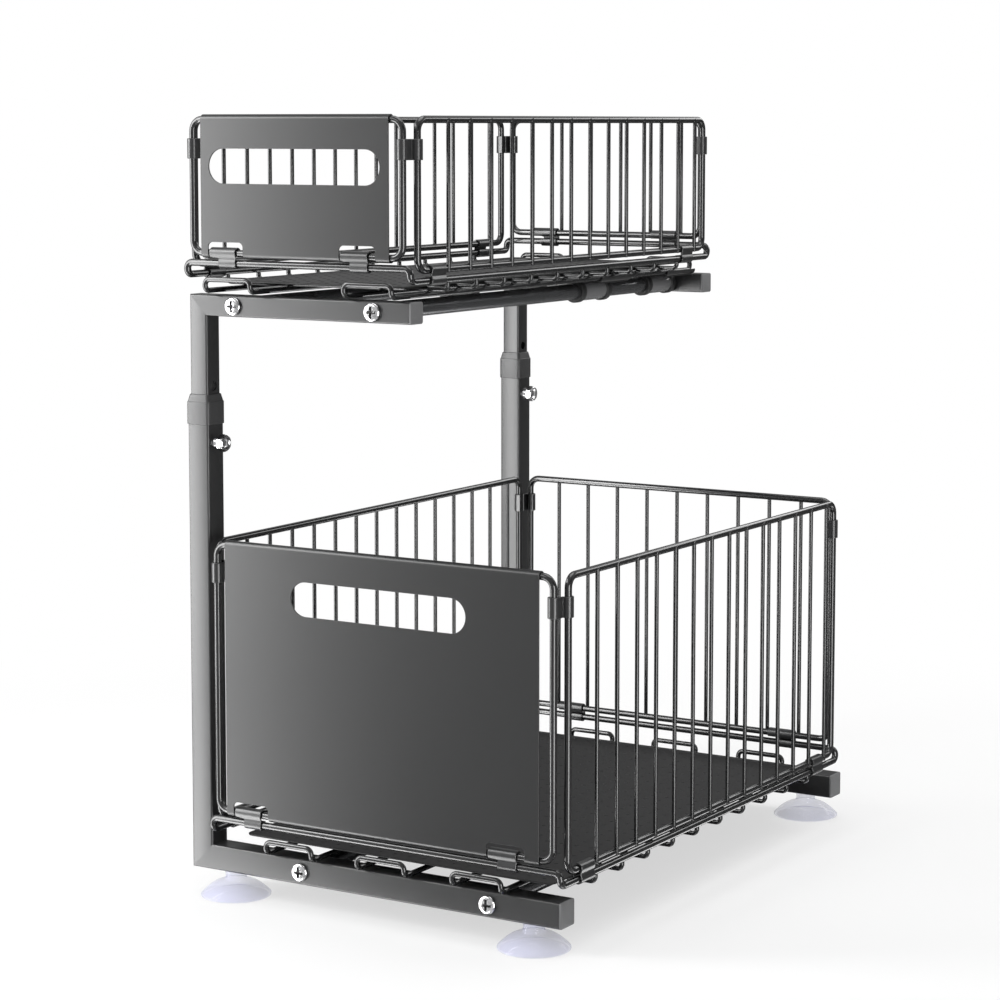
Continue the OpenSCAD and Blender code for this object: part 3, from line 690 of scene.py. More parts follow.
def thread(root, crest, turns):
    """Profile of a thread, drawn as rings."""
    return [spot for k in range(turns)
            for spot in ((root, k * THREAD_PITCH), (crest, (k + 0.5) * THREAD_PITCH))]


def cross_recess(base, axis, size, depth):
    """Cutter for the cross recess of a screw, whose arms narrow to the bottom."""
    u = axis.orthogonal().normalized()
    v = axis.cross(u)
    u, v = around(Vector(), u, v, 1, QUARTER / 2), around(Vector(), v, -u, 1, QUARTER / 2)
    rings = []
    for height, reach, half in ((0.3, 1.08, 0.26), (0, 1, 0.23), (-0.8, 0.6, 0.17), (-1, 0.2, 0.08)):
        arm = [(reach, half), (half, half), (half, reach)]
        ring = []
        for _ in range(4):
            ring += [base + height * depth * axis + size * (a * u + b * v) for a, b in arm]
            arm = [(-b, a) for a, b in arm]
        rings.append(ring)
    bm = bmesh.new()
    loft(bm, rings)
    return mesh_of("recess", bm)


def pan_head(base, outward, radius, height):
    """Head of a screw with a cross recess. Faces in the recess take the second finish, a darker steel
    that paints the shade in the recess.
    """
    lift = 0.03 * MM
    recess_size, recess_depth = 0.66 * radius, 0.75 * height
    profile = [(0, lift), (0.9 * radius, lift), (0.97 * radius, 0.1 * height),
               (radius, 0.2 * height), (radius, 0.4 * height)]
    steps = 9
    for k in range(1, steps):
        turn = QUARTER * k / steps
        profile.append((radius * (0.52 + 0.48 * math.cos(turn)),
                        height * (0.4 + 0.58 * math.sin(turn))))
    profile += [(0.5 * radius, 0.99 * height), (0, height)]
    bm = bmesh.new()
    lathe(bm, base, outward, profile)
    recess = cross_recess(base + height * outward, outward, recess_size, recess_depth)
    mesh = cut_away(mesh_of("head", bm), recess)
    for face in mesh.polygons:
        offset = face.center - base
        up = offset.dot(outward)
        beside = (offset - up * outward).length
        # Faces sunk in the recess are marked for the darker steel, which is painted shade.
        sunk = 0.1 * height < height - up < 0.9 * height and beside < 0.64 * radius
        face.material_index = 1 if sunk else 0
    return mesh


def pan_screws(tier):
    """Four pan-head screws of a tier, each with a cross recess and a threaded shank."""
    word = TIERS[tier]
    node = f"{word}_rod_screws"
    low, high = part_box(node)
    radius, in_rod = 6.5 * MM, 14 * MM
    root, crest = 2.6 * MM, 2.95 * MM
    bm = bmesh.new()
    for end, outward in (("front", -Y), ("rear", Y)):
        arm_low, arm_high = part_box(f"{word}_{end}_arm")
        face = arm_low.y if end == "front" else arm_high.y
        height = arm_low.y - low.y if end == "front" else high.y - arm_high.y
        turns = int((arm_high.y - arm_low.y + in_rod) / THREAD_PITCH)
        for side in SIDES:
            rod = middle(f"{word}_{side}_rod")
            base = Vector((rod.x, face, rod.z))
            bm.from_mesh(pan_head(base, outward, radius, height))
            lathe(bm, base, -outward, thread(root, crest, turns), steps=20)
    mesh = mesh_of(node, bm, sharp=35)
    mesh.materials.append(bright_steel())
    # Second finish: darker steel that paints the shade in the recesses.
    mesh.materials.append(recess_painted_shade_steel())
    show(node, "plated", mesh)


def hexagon(base, u, v, flats, limit, steps=48):
    """Points of a hexagon whose corners are turned off at a radius."""
    points = []
    for k in range(steps):
        turn = 2 * math.pi * k / steps
        lean = (turn % (math.pi / 3)) - math.pi / 6
        points.append(around(base, u, v, min(flats / 2 / math.cos(lean), limit), turn))
    return points


def lock_bolt(end):
    """Hexagon-headed bolt that clamps an inner post, with a threaded shank."""
    node = f"{end}_lock_bolt"
    low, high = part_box(node)
    centre = middle(node)
    flats, root, crest = 11 * MM, 2.62 * MM, 2.98 * MM
    under_head = 0.3 * MM
    start = Vector((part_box("lock_bosses")[1].x + under_head, centre.y, centre.z))
    height = high.x - start.x
    # Up the head and down its dimple, as shares of the height and of the width over flats
    levels = ((0, 0.53), (0.12, 1.2), (0.62, 1.2), (0.8, 0.555), (0.92, 0.525), (1, 0.46),
              (1, 0.36), (0.95, 0.33), (0.84, 0.26), (0.76, 0.16), (0.73, 0.04))
    bm = bmesh.new()
    loft(bm, [hexagon(start + share * height * X, Z, Y, flats, limit * flats)
              for share, limit in levels])
    turns = int((start.x - low.x) / THREAD_PITCH) + 1
    lathe(bm, Vector((low.x, centre.y, centre.z)), X, thread(root, crest, turns), steps=24)
    show(node, "plated", mesh_of(node, bm, sharp=25))


def lock_bosses():
    """Threaded bosses welded to the outer posts, each with a thicker foot."""
    node = "lock_bosses"
    low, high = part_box(node)
    deep = high.x - low.x
    radius, bore = (high.z - low.z) / 2, 3.08 * MM
    profile = [(bore, 0), (radius, 0), (radius, 0.25 * deep), (0.93 * radius, 0.4 * deep),
               (0.93 * radius, deep - 0.4 * MM), (0.88 * radius, deep), (bore, deep)]
    bm = bmesh.new()
    for end in ENDS:
        centre = middle(f"{end}_lock_bolt")
        lathe(bm, Vector((low.x, centre.y, centre.z)), X, profile, bore=True)
    show(node, "turned", mesh_of(node, bm, sharp=30))


def slide_rods(tier):
    """Round slide rods of a tier, with eased ends."""
    for side in SIDES:
        node = f"{TIERS[tier]}_{side}_rod"
        low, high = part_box(node)
        centre = middle(node)
        radius, deep, ease = (high.x - low.x) / 2, high.y - low.y, 0.4 * MM
        bm = bmesh.new()
        lathe(bm, Vector((centre.x, low.y, centre.z)), Y,
              [(0, 0), (radius - ease, 0), (radius, ease), (radius, deep - ease),
               (radius - ease, deep), (0, deep)])
        mesh = mesh_of(node, bm)
        mesh.materials.append(rod_plating())
        show(node, "round", mesh)


class BASKET_OT_fasteners(bpy.types.Operator):
    """Build the slide rods, their screws and the lock bolts"""
    bl_idname = "basket.fasteners"
    bl_label = "Rods, screws and bolts"

    def execute(self, context):
        for tier in TIERS:
            slide_rods(tier)
            pan_screws(tier)
        lock_bosses()
        for end in ENDS:
            lock_bolt(end)
        return {"FINISHED"}


# ---- Feet ----

def suction_cup(node):
    """Clear suction cup: stud, waisted neck, flared bell and thin lip."""
    low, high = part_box(node)
    centre = middle(node)
    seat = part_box("base_front_arm")[0].z
    rim, height = (high.x - low.x) / 2, seat - low.z
    stud, barb, barb_top = 3 * MM, 4.2 * MM, 3.25 * MM
    neck, neck_height, waist = 8 * MM, 6.8 * MM, 0.6 * MM
    lip = 1.2 * MM
    bell = height - neck_height - lip
    hollow, hollow_height = rim - 2 * MM, 0.28 * height
    neck_shares, bell_shares = evenly(0, 1, 9)[1:-1], evenly(0, 1, 19)
    profile = [(0, barb_top), (barb - 0.3 * MM, barb_top), (barb, barb_top - 0.35 * MM),
               (barb, 1.35 * MM), (stud, 1.25 * MM), (stud, 0.02 * MM),
               (neck - 0.4 * MM, 0.02 * MM), (neck, -0.3 * MM)]
    profile += [(neck - waist * math.sin(math.pi * share), -neck_height * share)
                for share in neck_shares]
    profile += [(neck + (rim - neck) * share, -neck_height - bell * share ** 1.8)
                for share in bell_shares]
    profile += [(rim, -height + 0.45 * lip), (rim - 0.25 * MM, -height + 0.1 * MM),
                (rim - 0.6 * MM, -height)]
    profile += [(hollow * (1 - share), -height + hollow_height * (1 - (1 - share) ** 2))
                for share in bell_shares]
    bm = bmesh.new()
    lathe(bm, Vector((centre.x, centre.y, seat)), Z, profile, steps=96)
    show(node, "moulded", mesh_of(node, bm, sharp=50))


class BASKET_OT_feet(bpy.types.Operator):
    """Build the four suction cups"""
    bl_idname = "basket.feet"
    bl_label = "Suction cups"

    def execute(self, context):
        for end in ENDS:
            for side in SIDES:
                suction_cup(f"cup_{end}_{side}")
        return {"FINISHED"}


# ---- Basket floors ----

def tier_layout(tier):
    """Lines and heights that the wires of one basket share, all of them wire middles."""
    ring_low, ring_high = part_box(f"{tier}_base_ring")
    panel_low, panel_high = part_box(f"{tier}_front_ring")
    side_low, side_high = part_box(f"{tier}_right_panel")
    half = (panel_high.y - panel_low.y) / 2
    return SimpleNamespace(
        half=half,
        left=ring_low.x + half, right=ring_high.x - half,
        front=ring_low.y + half, rear=ring_high.y - half,
        side_z=ring_low.z + half, end_z=ring_high.z - half,
        panel_left=panel_low.x + half, panel_right=panel_high.x - half,
        end_panel_z=panel_low.z + half, top=panel_high.z - half,
        side_panel_z=side_low.z + half,
        side_front=side_low.y + half, side_rear=side_high.y - half)


def base_ring(tier):
    """Base ring: one wire that drops at each corner from the raised ends to the sides."""
    node = f"{tier}_base_ring"
    at = tier_layout(tier)
    corners = []
    for x, near, far in ((at.right, at.rear, at.front), (at.left, at.front, at.rear)):
        corners += [(x, near, at.end_z), (x, near, at.side_z), (x, far, at.side_z), (x, far, at.end_z)]
    line = bend_line(corners, (at.end_z - at.side_z) / 2, closed=True)
    show(node, "wire", wire_mesh(node, [(line, 2 * at.half, True)]))


def hoop_places(tier):
    """Middles of the hoops of a basket's floor."""
    low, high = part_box(f"{tier}_floor_rails")
    sizes = settings().wires
    in_from_edge = (sizes.rail + sizes.hoop) / 2
    return evenly(low.x + in_from_edge, high.x - in_from_edge, 3 if tier == "lower" else 2)


def floor_rails(tier):
    """Long floor wires, each pair bent up into a hoop at both ends."""
    sizes = settings().wires
    node = f"{tier}_floor_rails"
    low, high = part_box(node)
    half = sizes.rail / 2
    floor, hoop = low.z + half, high.z - half
    front, rear = low.y + half, high.y - half
    wires = []
    for x in hoop_places(tier):
        l, r = x - sizes.hoop / 2, x + sizes.hoop / 2
        corners = [(l, front, floor), (l, front, hoop), (r, front, hoop), (r, front, floor),
                   (r, rear, floor), (r, rear, hoop), (l, rear, hoop), (l, rear, floor)]
        wires.append((bend_line(corners, (hoop - floor) / 2, closed=True), sizes.rail, True))
    show(node, "wire", wire_mesh(node, wires))


def cross_wires(tier):
    """Cross wires on the rails, turned up to the base ring, with a weld bead at each rail."""
    sizes = settings().wires
    node = f"{tier}_cross_wires"
    low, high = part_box(node)
    half = sizes.cross / 2
    left, right, floor = low.x + half, high.x - half, low.z + half
    bend = min(sizes.cross, high.z - floor - 0.01 * MM)
    bead, bead_z = (2.2 * MM, 2.0 * MM, 0.9 * MM), floor - half + 0.2 * MM
    wires, beads = [], []
    for y in evenly(low.y + half, high.y - half, sizes.crosses):
        corners = [(left, y, high.z), (left, y, floor), (right, y, floor), (right, y, high.z)]
        wires.append((bend_line(corners, bend), sizes.cross, False))
        beads += [Vector((x + side * sizes.hoop / 2, y, bead_z))
                  for x in hoop_places(tier) for side in (-1, 1)]
    show(node, "wire", wire_mesh(node, wires, beads, bead))


def floor_mat(tier):
    """Floor mat with rounded corners, a raised rim and rows of low studs."""
    node = f"{tier}_floor_mat"
    low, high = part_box(node)
    centre = middle(node)
    width, depth = high.x - low.x, high.y - low.y
    corner, rim, sink, ease = 6 * MM, 4 * MM, 0.35 * MM, 0.25 * MM
    levels = ((low.z, ease), (low.z + ease, 0), (high.z - ease, 0), (high.z, ease),
              (high.z, rim - ease), (high.z - sink, rim))
    bm = bmesh.new()
    loft(bm, plan_rings(low, width, depth, [(z, inset, corner - inset) for z, inset in levels], 6))
    stud, pitch = 1.6 * MM, 12 * MM
    profile = [(stud, 0), (0.9 * stud, 0.3 * MM), (0.5 * stud, 0.42 * MM)]
    across, along = int((width - 4 * rim) / pitch), int((depth - 4 * rim) / pitch)
    for i in range(across + 1):
        for j in range(along + 1):
            x = centre.x + (i - across / 2) * pitch
            y = centre.y + (j - along / 2) * pitch
            lathe(bm, Vector((x, y, high.z - sink - 0.1 * MM)), Z, profile, steps=10)
    show(node, "moulded", mesh_of(node, bm))


class BASKET_OT_floors(bpy.types.Operator):
    """Build the base rings, floor wires and mats"""
    bl_idname = "basket.floors"
    bl_label = "Basket floors"

    def execute(self, context):
        for tier in TIERS:
            base_ring(tier)
            floor_rails(tier)
            cross_wires(tier)
            floor_mat(tier)
        return {"FINISHED"}


# ---- Basket panels ----

def frame_line(low, high):
    """Line of a panel's wire frame, which stands between two opposite corners."""
    corners = [low, (*low[:2], high[2]), high, (*high[:2], low[2])]
    return bend_line(corners, settings().wires.panel_bend, closed=True)


def ribbed_panel(node, half, low, high, ribs, across):
    """A wire frame with upright ribs welded to its outside, each at its (x, y). Across is the
    panel's thin direction."""
    rib = settings().wires.rib
    over, bead_drop = 1.1 * MM, 0.8 * MM
    bead = [2.1 * MM, 2.1 * MM, 1.9 * MM]
    bead[across] = 1.3 * MM
    wires, beads = [(frame_line(low, high), 2 * half, True)], []
    for x, y in ribs:
        foot, tip = Vector((x, y, low[2] - half)), Vector((x, y, high[2] + over))
        wires.append((domed_line(foot, tip, rib), rib, False))
        beads += [Vector((x, y, low[2])), Vector((x, y, high[2] - bead_drop))]
    show(node, "wire", wire_mesh(node, wires, beads, bead))


def side_panel(tier, side):
    """Side panel, whose ribs are counted from its front wire."""
    sizes = settings().wires
    at = tier_layout(tier)
    x, outward = (at.left, -1) if side == "left" else (at.right, 1)
    first = at.side_front + sizes.rib_start
    ribs = [(x + outward * RIB_OUT, first + k * sizes.rib_pitch) for k in range(sizes.side_ribs)]
    ribbed_panel(f"{tier}_{side}_panel", at.half, (x, at.side_front, at.side_panel_z),
                 (x, at.side_rear, at.top), ribs, across=0)


def rear_panel(tier):
    """Rear panel, whose ribs stand evenly on both sides of its middle."""
    pitch = settings().wires.rib_pitch
    at = tier_layout(tier)
    number = int((at.panel_right - at.panel_left) / pitch)
    first = (at.left + at.right) / 2 - (number - 1) / 2 * pitch
    ribs = [(first + k * pitch, at.rear + RIB_OUT) for k in range(number)]
    ribbed_panel(f"{tier}_rear_panel", at.half, (at.panel_left, at.rear, at.end_panel_z),
                 (at.panel_right, at.rear, at.top), ribs, across=1)


def front_frame(tier):
    """Wire frame behind a front plate."""
    node = f"{tier}_front_ring"
    at = tier_layout(tier)
    line = frame_line((at.panel_left, at.front, at.end_panel_z), (at.panel_right, at.front, at.top))
    show(node, "wire", wire_mesh(node, [(line, 2 * at.half, True)]))


def slot_outline(centre, width, height):
    """A slot with round ends."""
    half = (width - height) / 2
    return (arc(centre + half * X, X, Z, height / 2, -90, 90, 24)
            + arc(centre - half * X, X, Z, height / 2, 90, 270, 24))


def notch_outline(left, right, y, bottom, top):
    """A notch with round upper corners."""
    radius = 3.5 * MM
    return ([Vector((left, y, bottom)), Vector((right, y, bottom))]
            + arc(Vector((right - radius, y, top - radius)), X, Z, radius, 0, 90, 8)
            + arc(Vector((left + radius, y, top - radius)), X, Z, radius, 90, 180, 8))


def hinge_places(tier, end):
    """Left edges of a basket's two front or rear hinge clips, and their width."""
    low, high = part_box(f"{tier}_{end}_hinges")
    width = 22 * MM
    return [low.x, high.x - width], width


def front_plate(tier):
    """Sheet front with a handle slot, and a notch over each hinge clip. It rolls over the
    frame's top wire and under its lower wire."""
    sizes = settings().sheet
    node = f"{tier}_front_plate"
    low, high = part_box(node)
    at = tier_layout(tier)
    half = sizes.plate / 2
    bend = at.half + SEAT + half
    foot, top = Vector((0, at.front, at.end_panel_z)), Vector((0, at.front, at.top))
    # Angles start at the back, and are 90 above a wire and -90 below it
    line = arc(foot, Y, Z, bend, -10, -180, 20) + arc(top, Y, Z, bend, 180, -40, 24)
    outer, inner = ([p + side * half * heading(line, i).cross(X) for i, p in enumerate(line)]
                    for side in (1, -1))
    mesh = prism(node, outer + inner[::-1], X, low.x, high.x)
    centre = Vector(((low.x + high.x) / 2, at.front - bend, at.top - sizes.slot_drop))
    slot = slot_outline(centre, sizes.slot_width, sizes.slot_height)
    slot_reach, notch_reach, below = 3 * MM, 12 * MM, 5 * MM
    mesh = cut_away(mesh, prism("slot", slot, Y, -slot_reach, slot_reach))
    for clip_left in hinge_places(tier, "front")[0]:
        left = clip_left - sizes.notch_room
        notch = notch_outline(left, left + sizes.notch_width, at.front, low.z - below,
                              at.end_panel_z + sizes.notch_height)
        mesh = cut_away(mesh, prism("notch", notch, Y, -notch_reach, notch_reach))
    show(node, "sheet", rounded_edges(mesh, width=0.22 * MM))


class BASKET_OT_panels(bpy.types.Operator):
    """Build the side, rear and front panels"""
    bl_idname = "basket.panels"
    bl_label = "Basket panels"

    def execute(self, context):
        for tier in TIERS:
            for side in SIDES:
                side_panel(tier, side)
            rear_panel(tier)
            front_frame(tier)
            front_plate(tier)
        return {"FINISHED"}


# ---- Clips ----

def hinge_line(panel, ring, out, half, fit):
    """Line of a hinge clip's strip, in the plane across the wires: over the panel's wire, in at
    a waist and under the base ring."""
    half_strip = settings().sheet.strip / 2
    grip = half + SEAT + half_strip
    lobe = half + fit + half_strip
    waist = 0.95 * MM
    steps = 12
    over_panel = arc(panel, -out, Z, lobe, -42, 180, 22)
    under_ring = arc(ring, -out, Z, grip, 180, 402, 22)
    between = [over_panel[-1].lerp(under_ring[0], k / steps)
               - waist * math.sin(math.pi * k / steps) ** 2 * out for k in range(1, steps)]
    return over_panel + between + under_ring


def end_hinges(tier, end):
    """Front or rear hinge clips, wider over the panel's wire than round the base ring."""
    sizes = settings().sheet
    node = f"{tier}_{end}_hinges"
    at = tier_layout(tier)
    y = getattr(at, end)
    out = -Y if end == "front" else Y
    line = hinge_line(Vector((0, y, at.end_panel_z)), Vector((0, y, at.end_z)), out, at.half,
                      sizes.turn_gap)
    lefts, width = hinge_places(tier, end)
    step = at.end_panel_z - at.half - sizes.turn_gap
    blend = 0.7 * MM
    lows = [min(max((step - p.z) / blend + 0.5, 0), 1) * (width - sizes.hinge_neck) for p in line]
    bm = bmesh.new()
    for left in lefts:
        strip_piece(bm, line, sizes.strip, X, left, width, lows)
    show(node, "strip", mesh_of(node, bm, sharp=40))


def side_hinges(tier):
    """Clips that hold the side panels on the sides of the base ring."""
    node = f"{tier}_side_hinges"
    low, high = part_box(node)
    at = tier_layout(tier)
    width = 18 * MM
    bm = bmesh.new()
    for x, out in ((at.left, -X), (at.right, X)):
        line = hinge_line(Vector((x, 0, at.side_panel_z)), Vector((x, 0, at.side_z)), out, at.half,
                          SEAT)
        for start in (low.y, high.y - width):
            strip_piece(bm, line, settings().sheet.strip, Y, start, width)
    show(node, "strip", mesh_of(node, bm, sharp=40))


def corner_line(post, side, end, half):
    """Plan line of a corner clip: round the end panel's upright at post, along the outside, and
    round the side panel's upright."""
    sizes = settings().sheet
    lobe = half + sizes.turn_gap + sizes.strip / 2
    grip = half + SEAT + sizes.strip / 2
    leg, turn = 3 * MM, 0.9 * MM
    inset, behind = 5.8 * MM, 9 * MM
    u, v = (X if side == "left" else -X), (Y if end == "front" else -Y)
    side_post = -inset * u + behind * v
    shoulder = behind - grip
    line = [lobe * u + leg * v]
    line += arc(Vector(), u, v, lobe, 0, -180, 18)
    line += arc((-lobe - turn) * u + (shoulder - turn) * v, u, v, turn, 0, 90, 5)
    line += arc(side_post, u, v, grip, -90, -270, 18)
    line += [side_post + leg * u + grip * v]
    return [post + p for p in line]


def corner_clips(tier):
    """Clips that hold the four panels together near the top of each corner."""
    node = f"{tier}_corner_clips"
    low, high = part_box(node)
    at = tier_layout(tier)
    bm = bmesh.new()
    for side in SIDES:
        for end in ENDS:
            post = Vector((getattr(at, f"panel_{side}"), getattr(at, end), 0))
            line = corner_line(post, side, end, at.half)
            strip_piece(bm, line, settings().sheet.strip, Z, low.z, high.z - low.z)
    show(node, "strip", mesh_of(node, bm, sharp=40))


class BASKET_OT_clips(bpy.types.Operator):
    """Build the hinge clips and corner clips"""
    bl_idname = "basket.clips"
    bl_label = "Clips"

    def execute(self, context):
        for tier in TIERS:
            for end in ENDS:
                end_hinges(tier, end)
            side_hinges(tier)
            corner_clips(tier)
        return {"FINISHED"}


# ---- Bearings ----

def bearings(tier, side):
    """Two bearings on a rod: a grey sleeve with black end rings, and a saddle with hooks that
    hold a pair of floor wires."""
    wires = settings().wires
    node = f"{tier}_{side}_bearings"
    low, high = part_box(node)
    rod_low, rod_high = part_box(f"{TIERS[tier]}_{side}_rod")
    rod = (rod_low + rod_high) / 2
    play, deep = 0.08 * MM, 45 * MM
    bore, outer = (rod_high.x - rod_low.x) / 2 + play, rod.z - low.z
    ring, step, ease = 6 * MM, 1.1 * MM, 0.5 * MM
    profile = [
        (bore, 0), (outer - ease, 0), (outer, ease), (outer, ring), (outer - step, ring + step),
        (outer - step, deep - ring - step), (outer, deep - ring), (outer, deep - ease),
        (outer - ease, deep), (bore, deep)]
    hook_strip, web_strip = 1.3 * MM, 1.5 * MM
    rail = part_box(f"{tier}_floor_rails")[0].z + wires.rail / 2
    hoop = hoop_places(tier)[0 if side == "left" else -1]
    left, right = hoop - wires.hoop / 2, hoop + wires.hoop / 2
    hook = wires.rail / 2 + hook_strip / 2 + SEAT
    web_z = rail - hook - 0.95 * MM
    barrel_top = web_z - 0.8 * MM
    web = [Vector((x, 0, web_z)) for x in evenly(left, right, 7)]
    bm = bmesh.new()
    for start in (low.y, high.y - deep):
        lathe(bm, Vector((rod.x, start, rod.z)), Y, profile, bore=True)
        for x in (left, right):
            line = arc(Vector((x, 0, rail)), X, Z, hook, 14, -194, 20)
            strip_piece(bm, line, hook_strip, Y, start, deep)
        strip_piece(bm, web, web_strip, Y, start, deep)
    mesh = mesh_of(node, bm, sharp=30)

    def on_sleeve(at):
        """Whether a point lies on a barrel, between its end rings."""
        in_barrel = Vector((at.x - rod.x, 0, at.z - rod.z)).length < outer and at.z < barrel_top
        along = min(abs(at.y - low.y), abs(at.y - high.y + deep))
        return in_barrel and ring + step < along < deep - ring - step

    two_finishes(mesh, black_plastic, sleeve_plastic, on_sleeve)
    show(node, "moulded", mesh)


class BASKET_OT_bearings(bpy.types.Operator):
    """Build the bearings on the slide rods"""
    bl_idname = "basket.bearings"
    bl_label = "Bearings"

    def execute(self, context):
        for tier in TIERS:
            for side in SIDES:
                bearings(tier, side)
        return {"FINISHED"}


# ---- Stage ----

def finds_white(tree):
    """1 on the rays that find the white background, which are the camera's, also through clear
    plastic."""
    path = add_node(tree, "LightPath").outputs
    kinds = {0: path["Is Camera Ray"], 1: path["Is Transmission Ray"]}
    return add_node(tree, "Math", kinds, operation="MAXIMUM").outputs[0]


def mixed(tree, share, first, second):
    """A mix of two shaders."""
    return add_node(
        tree, "MixShader", {"Fac": share, 1: first.outputs[0], 2: second.outputs[0]})


def floor_material():
    """Pale floor that keeps the rack's shadow and fades to white around it. Gloss finds it
    polished, so that the lamps light the low parts as evenly as the high ones."""
    material = bpy.data.materials.new("Floor")
    material.use_nodes = True
    tree = material.node_tree
    tree.nodes.remove(tree.nodes["Principled BSDF"])
    place = add_node(tree, "NewGeometry").outputs["Position"]
    distance = add_node(tree, "VectorMath", {0: place}, operation="LENGTH").outputs["Value"]
    fade = add_node(
        tree, "MapRange", {"Value": distance, "From Min": 0.35, "From Max": 0.9, "To Min": 0.62},
        interpolation_type="SMOOTHSTEP")
    gate = add_node(
        tree, "Math", {0: fade.outputs["Result"], 1: finds_white(tree)}, operation="MULTIPLY")
    paint = add_node(tree, "BsdfDiffuse", {"Color": (0.93, 0.93, 0.93, 1)})
    polish = add_node(tree, "BsdfGlossy", {"Color": WHITE, "Roughness": 0.1})
    is_gloss = add_node(tree, "LightPath").outputs["Is Glossy Ray"]
    white = add_node(tree, "Emission", {"Strength": 1})
    both = mixed(tree, gate.outputs[0], mixed(tree, is_gloss, paint, polish), white)
    feed(tree, tree.nodes["Material Output"], {"Surface": both.outputs[0]})
    return material


def world():
    """Soft even light, behind which the camera and clear plastic find plain white."""
    sky = bpy.data.worlds.new("Studio")
    bpy.context.scene.world = sky
    sky.use_nodes = True
    tree = sky.node_tree
    light = tree.nodes["Background"]
    feed(tree, light, {"Color": WHITE, "Strength": settings().stage.ambient})
    white = add_node(tree, "Background", {"Color": WHITE, "Strength": 1})
    both = mixed(tree, finds_white(tree), light, white)
    feed(tree, tree.nodes["World Output"], {"Surface": both.outputs[0]})


def aim(thing, place, target):
    """Puts a lamp or card in its place, facing its target."""
    thing.location = place
    thing.rotation_euler = (Vector(target) - Vector(place)).to_track_quat("-Z", "Y").to_euler()


def softbox(name, place, target, width, height, power, gloss_only=False):
    """Rectangular lamp that faces a target. One for gloss only draws a streak on tubes and
    wires."""
    lamp = bpy.data.lights.new(name, "AREA")
    lamp.shape = "RECTANGLE"
    lamp.size = width
    lamp.size_y = height
    lamp.energy = power
    holder = put(name, lamp)
    aim(holder, place, target)
    holder.visible_camera = False
    holder.visible_diffuse = not gloss_only


def card(name, place, target, width, height):
    """Dark card that only gloss finds. It gives the far sides of tubes and screws their depth."""
    bm = bmesh.new()
    bmesh.ops.create_grid(bm, x_segments=1, y_segments=1, size=0.5)
    sheet = put(name, mesh_of(name, bm))
    sheet.scale = (width, height, 1)
    aim(sheet, place, target)
    material = bpy.data.materials.new(name)
    material.use_nodes = True
    tree = material.node_tree
    tree.nodes.remove(tree.nodes["Principled BSDF"])
    glow = add_node(tree, "Emission", {"Strength": 0.12})
    feed(tree, tree.nodes["Material Output"], {"Surface": glow.outputs[0]})
    sheet.data.materials.append(material)
    for kind in ("camera", "diffuse", "transmission", "volume_scatter", "shadow"):
        setattr(sheet, f"visible_{kind}", False)


def camera():
    """Camera at the photograph's angle."""
    stage = settings().stage
    lens = bpy.data.cameras.new("Camera")
    lens.lens = stage.lens
    lens.sensor_width = 36
    lens.shift_y = stage.shift
    holder = put("Camera", lens)
    holder.location = stage.camera_at
    holder.rotation_euler = (QUARTER - stage.camera_dip, 0, stage.camera_turn)
    bpy.context.scene.camera = holder


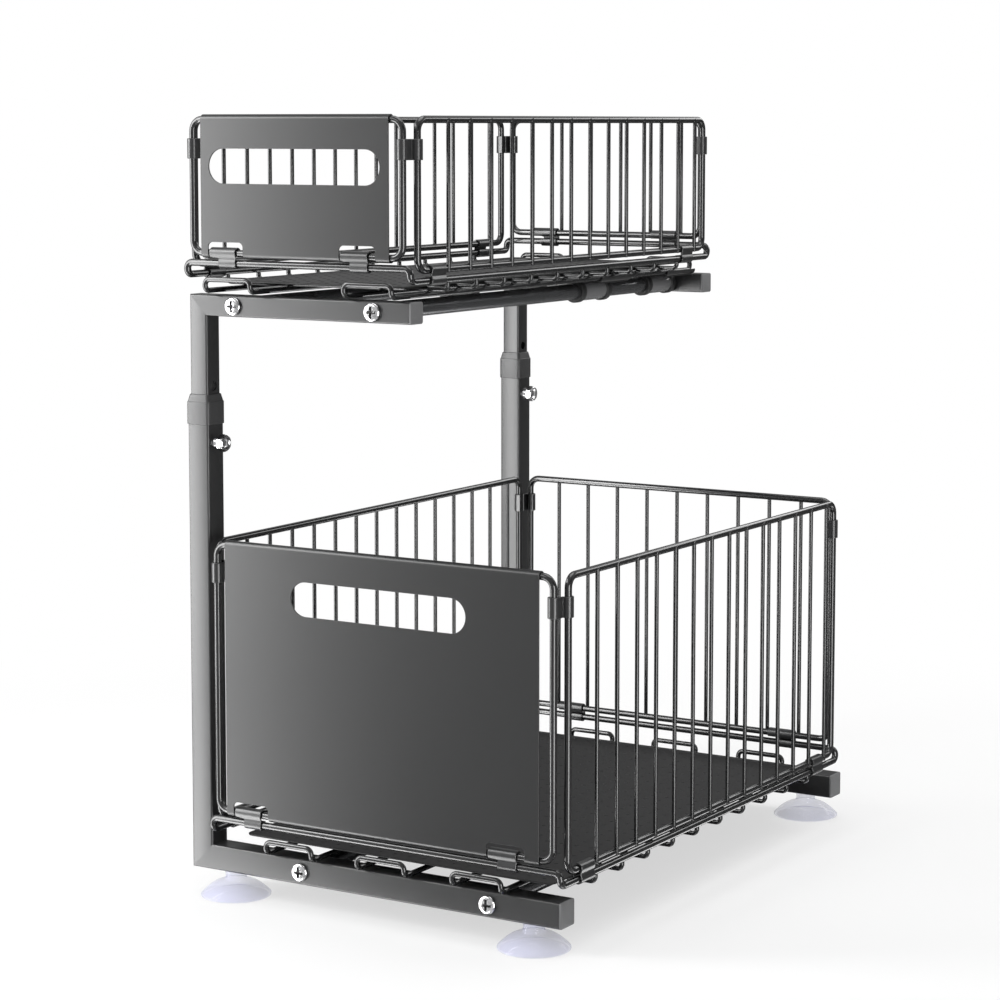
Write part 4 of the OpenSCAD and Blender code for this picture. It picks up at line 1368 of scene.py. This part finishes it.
class BASKET_OT_stage(bpy.types.Operator):
    """Build the floor, the lamps, the world and the camera"""
    bl_idname = "basket.stage"
    bl_label = "Stage"

    def execute(self, context):
        bm = bmesh.new()
        bmesh.ops.create_circle(bm, cap_ends=True, segments=96, radius=12)
        floor = put("Floor", mesh_of("Floor", bm))
        floor.data.materials.append(floor_material())
        world()
        softbox("Key", (-0.645, -0.69, 0.57), (0.0, -0.2, 0.57), 0.28, 1.12, 10.4)
        softbox("Overhead", (0.1, 0.2, 2.2), (0, 0, 0.2), 1.6, 1.6, 22)
        softbox("Streak_right", (1.33, -0.9, 0.28), (0, -0.1, 0.28), 0.8, 0.55, 11.5, True)
        softbox("Streak_rear", (0.6, 1.6, 1.05), (0, 0, 0.3), 1.6, 0.4, 6.5, True)
        softbox("Streak_left", (-0.75, -1.45, 1.4), (0, -0.2, 0.3), 1.2, 0.6, 7.5, True)
        softbox("Streak_post", (-0.5, -0.36, 0.5), (-0.15, 0.23, 0.45), 0.12, 0.9, 2.4, True)
        card("Card_behind", (0.1, 1.7, 0.38), (0.1, 0, 0.38), 4.2, 0.9)
        card("Card_right", (2.1, -0.7, 0.9), (0, 0, 0.4), 2.6, 1.9)
        camera()
        context.scene.view_settings.view_transform = "Standard"
        return {"FINISHED"}


# ---- The add-on ----

class RackSettings(bpy.types.PropertyGroup):
    """All sizes and colours of the rack"""
    tubes: PointerProperty(name="Tubes", description="Sizes of the tubes", type=TubeSizes)
    wires: PointerProperty(name="Wires", description="Sizes of the wires", type=WireSizes)
    sheet: PointerProperty(name="Sheet", description="Sizes of plates and clips", type=SheetSizes)
    colours: PointerProperty(name="Colours", description="Colours", type=FinishColours)
    stage: PointerProperty(name="Stage", description="Camera and lamps", type=StageSizes)


OPERATORS = (
    BASKET_OT_frame_tubes, BASKET_OT_mouldings, BASKET_OT_fasteners, BASKET_OT_feet,
    BASKET_OT_floors, BASKET_OT_panels, BASKET_OT_clips, BASKET_OT_bearings, BASKET_OT_stage,
)


class BASKET_PT_pieces(bpy.types.Panel):
    """Lists what can be built"""
    bl_idname = "BASKET_PT_pieces"
    bl_label = "Pull-out basket"
    bl_space_type = "VIEW_3D"
    bl_region_type = "UI"
    bl_category = "Basket"

    def draw(self, context):
        layout = self.layout
        for operator in OPERATORS:
            layout.operator(operator.bl_idname)
        for group in ("tubes", "wires", "sheet", "colours", "stage"):
            box = layout.box()
            values = getattr(context.scene.basket_rack, group)
            for name in values.bl_rna.properties.keys():
                if name not in ("name", "rna_type"):
                    box.prop(values, name)


CLASSES = (
    TubeSizes, WireSizes, SheetSizes, FinishColours, StageSizes, RackSettings,
    *OPERATORS, BASKET_PT_pieces,
)


def register():
    for cls in CLASSES:
        bpy.utils.register_class(cls)
    bpy.types.Scene.basket_rack = PointerProperty(type=RackSettings)


def unregister():
    del bpy.types.Scene.basket_rack
    for cls in reversed(CLASSES):
        bpy.utils.unregister_class(cls)


def main():
    register()
    for operator in OPERATORS:
        group, name = operator.bl_idname.split(".")
        getattr(getattr(bpy.ops, group), name)()


if __name__ == "__main__":
    main()
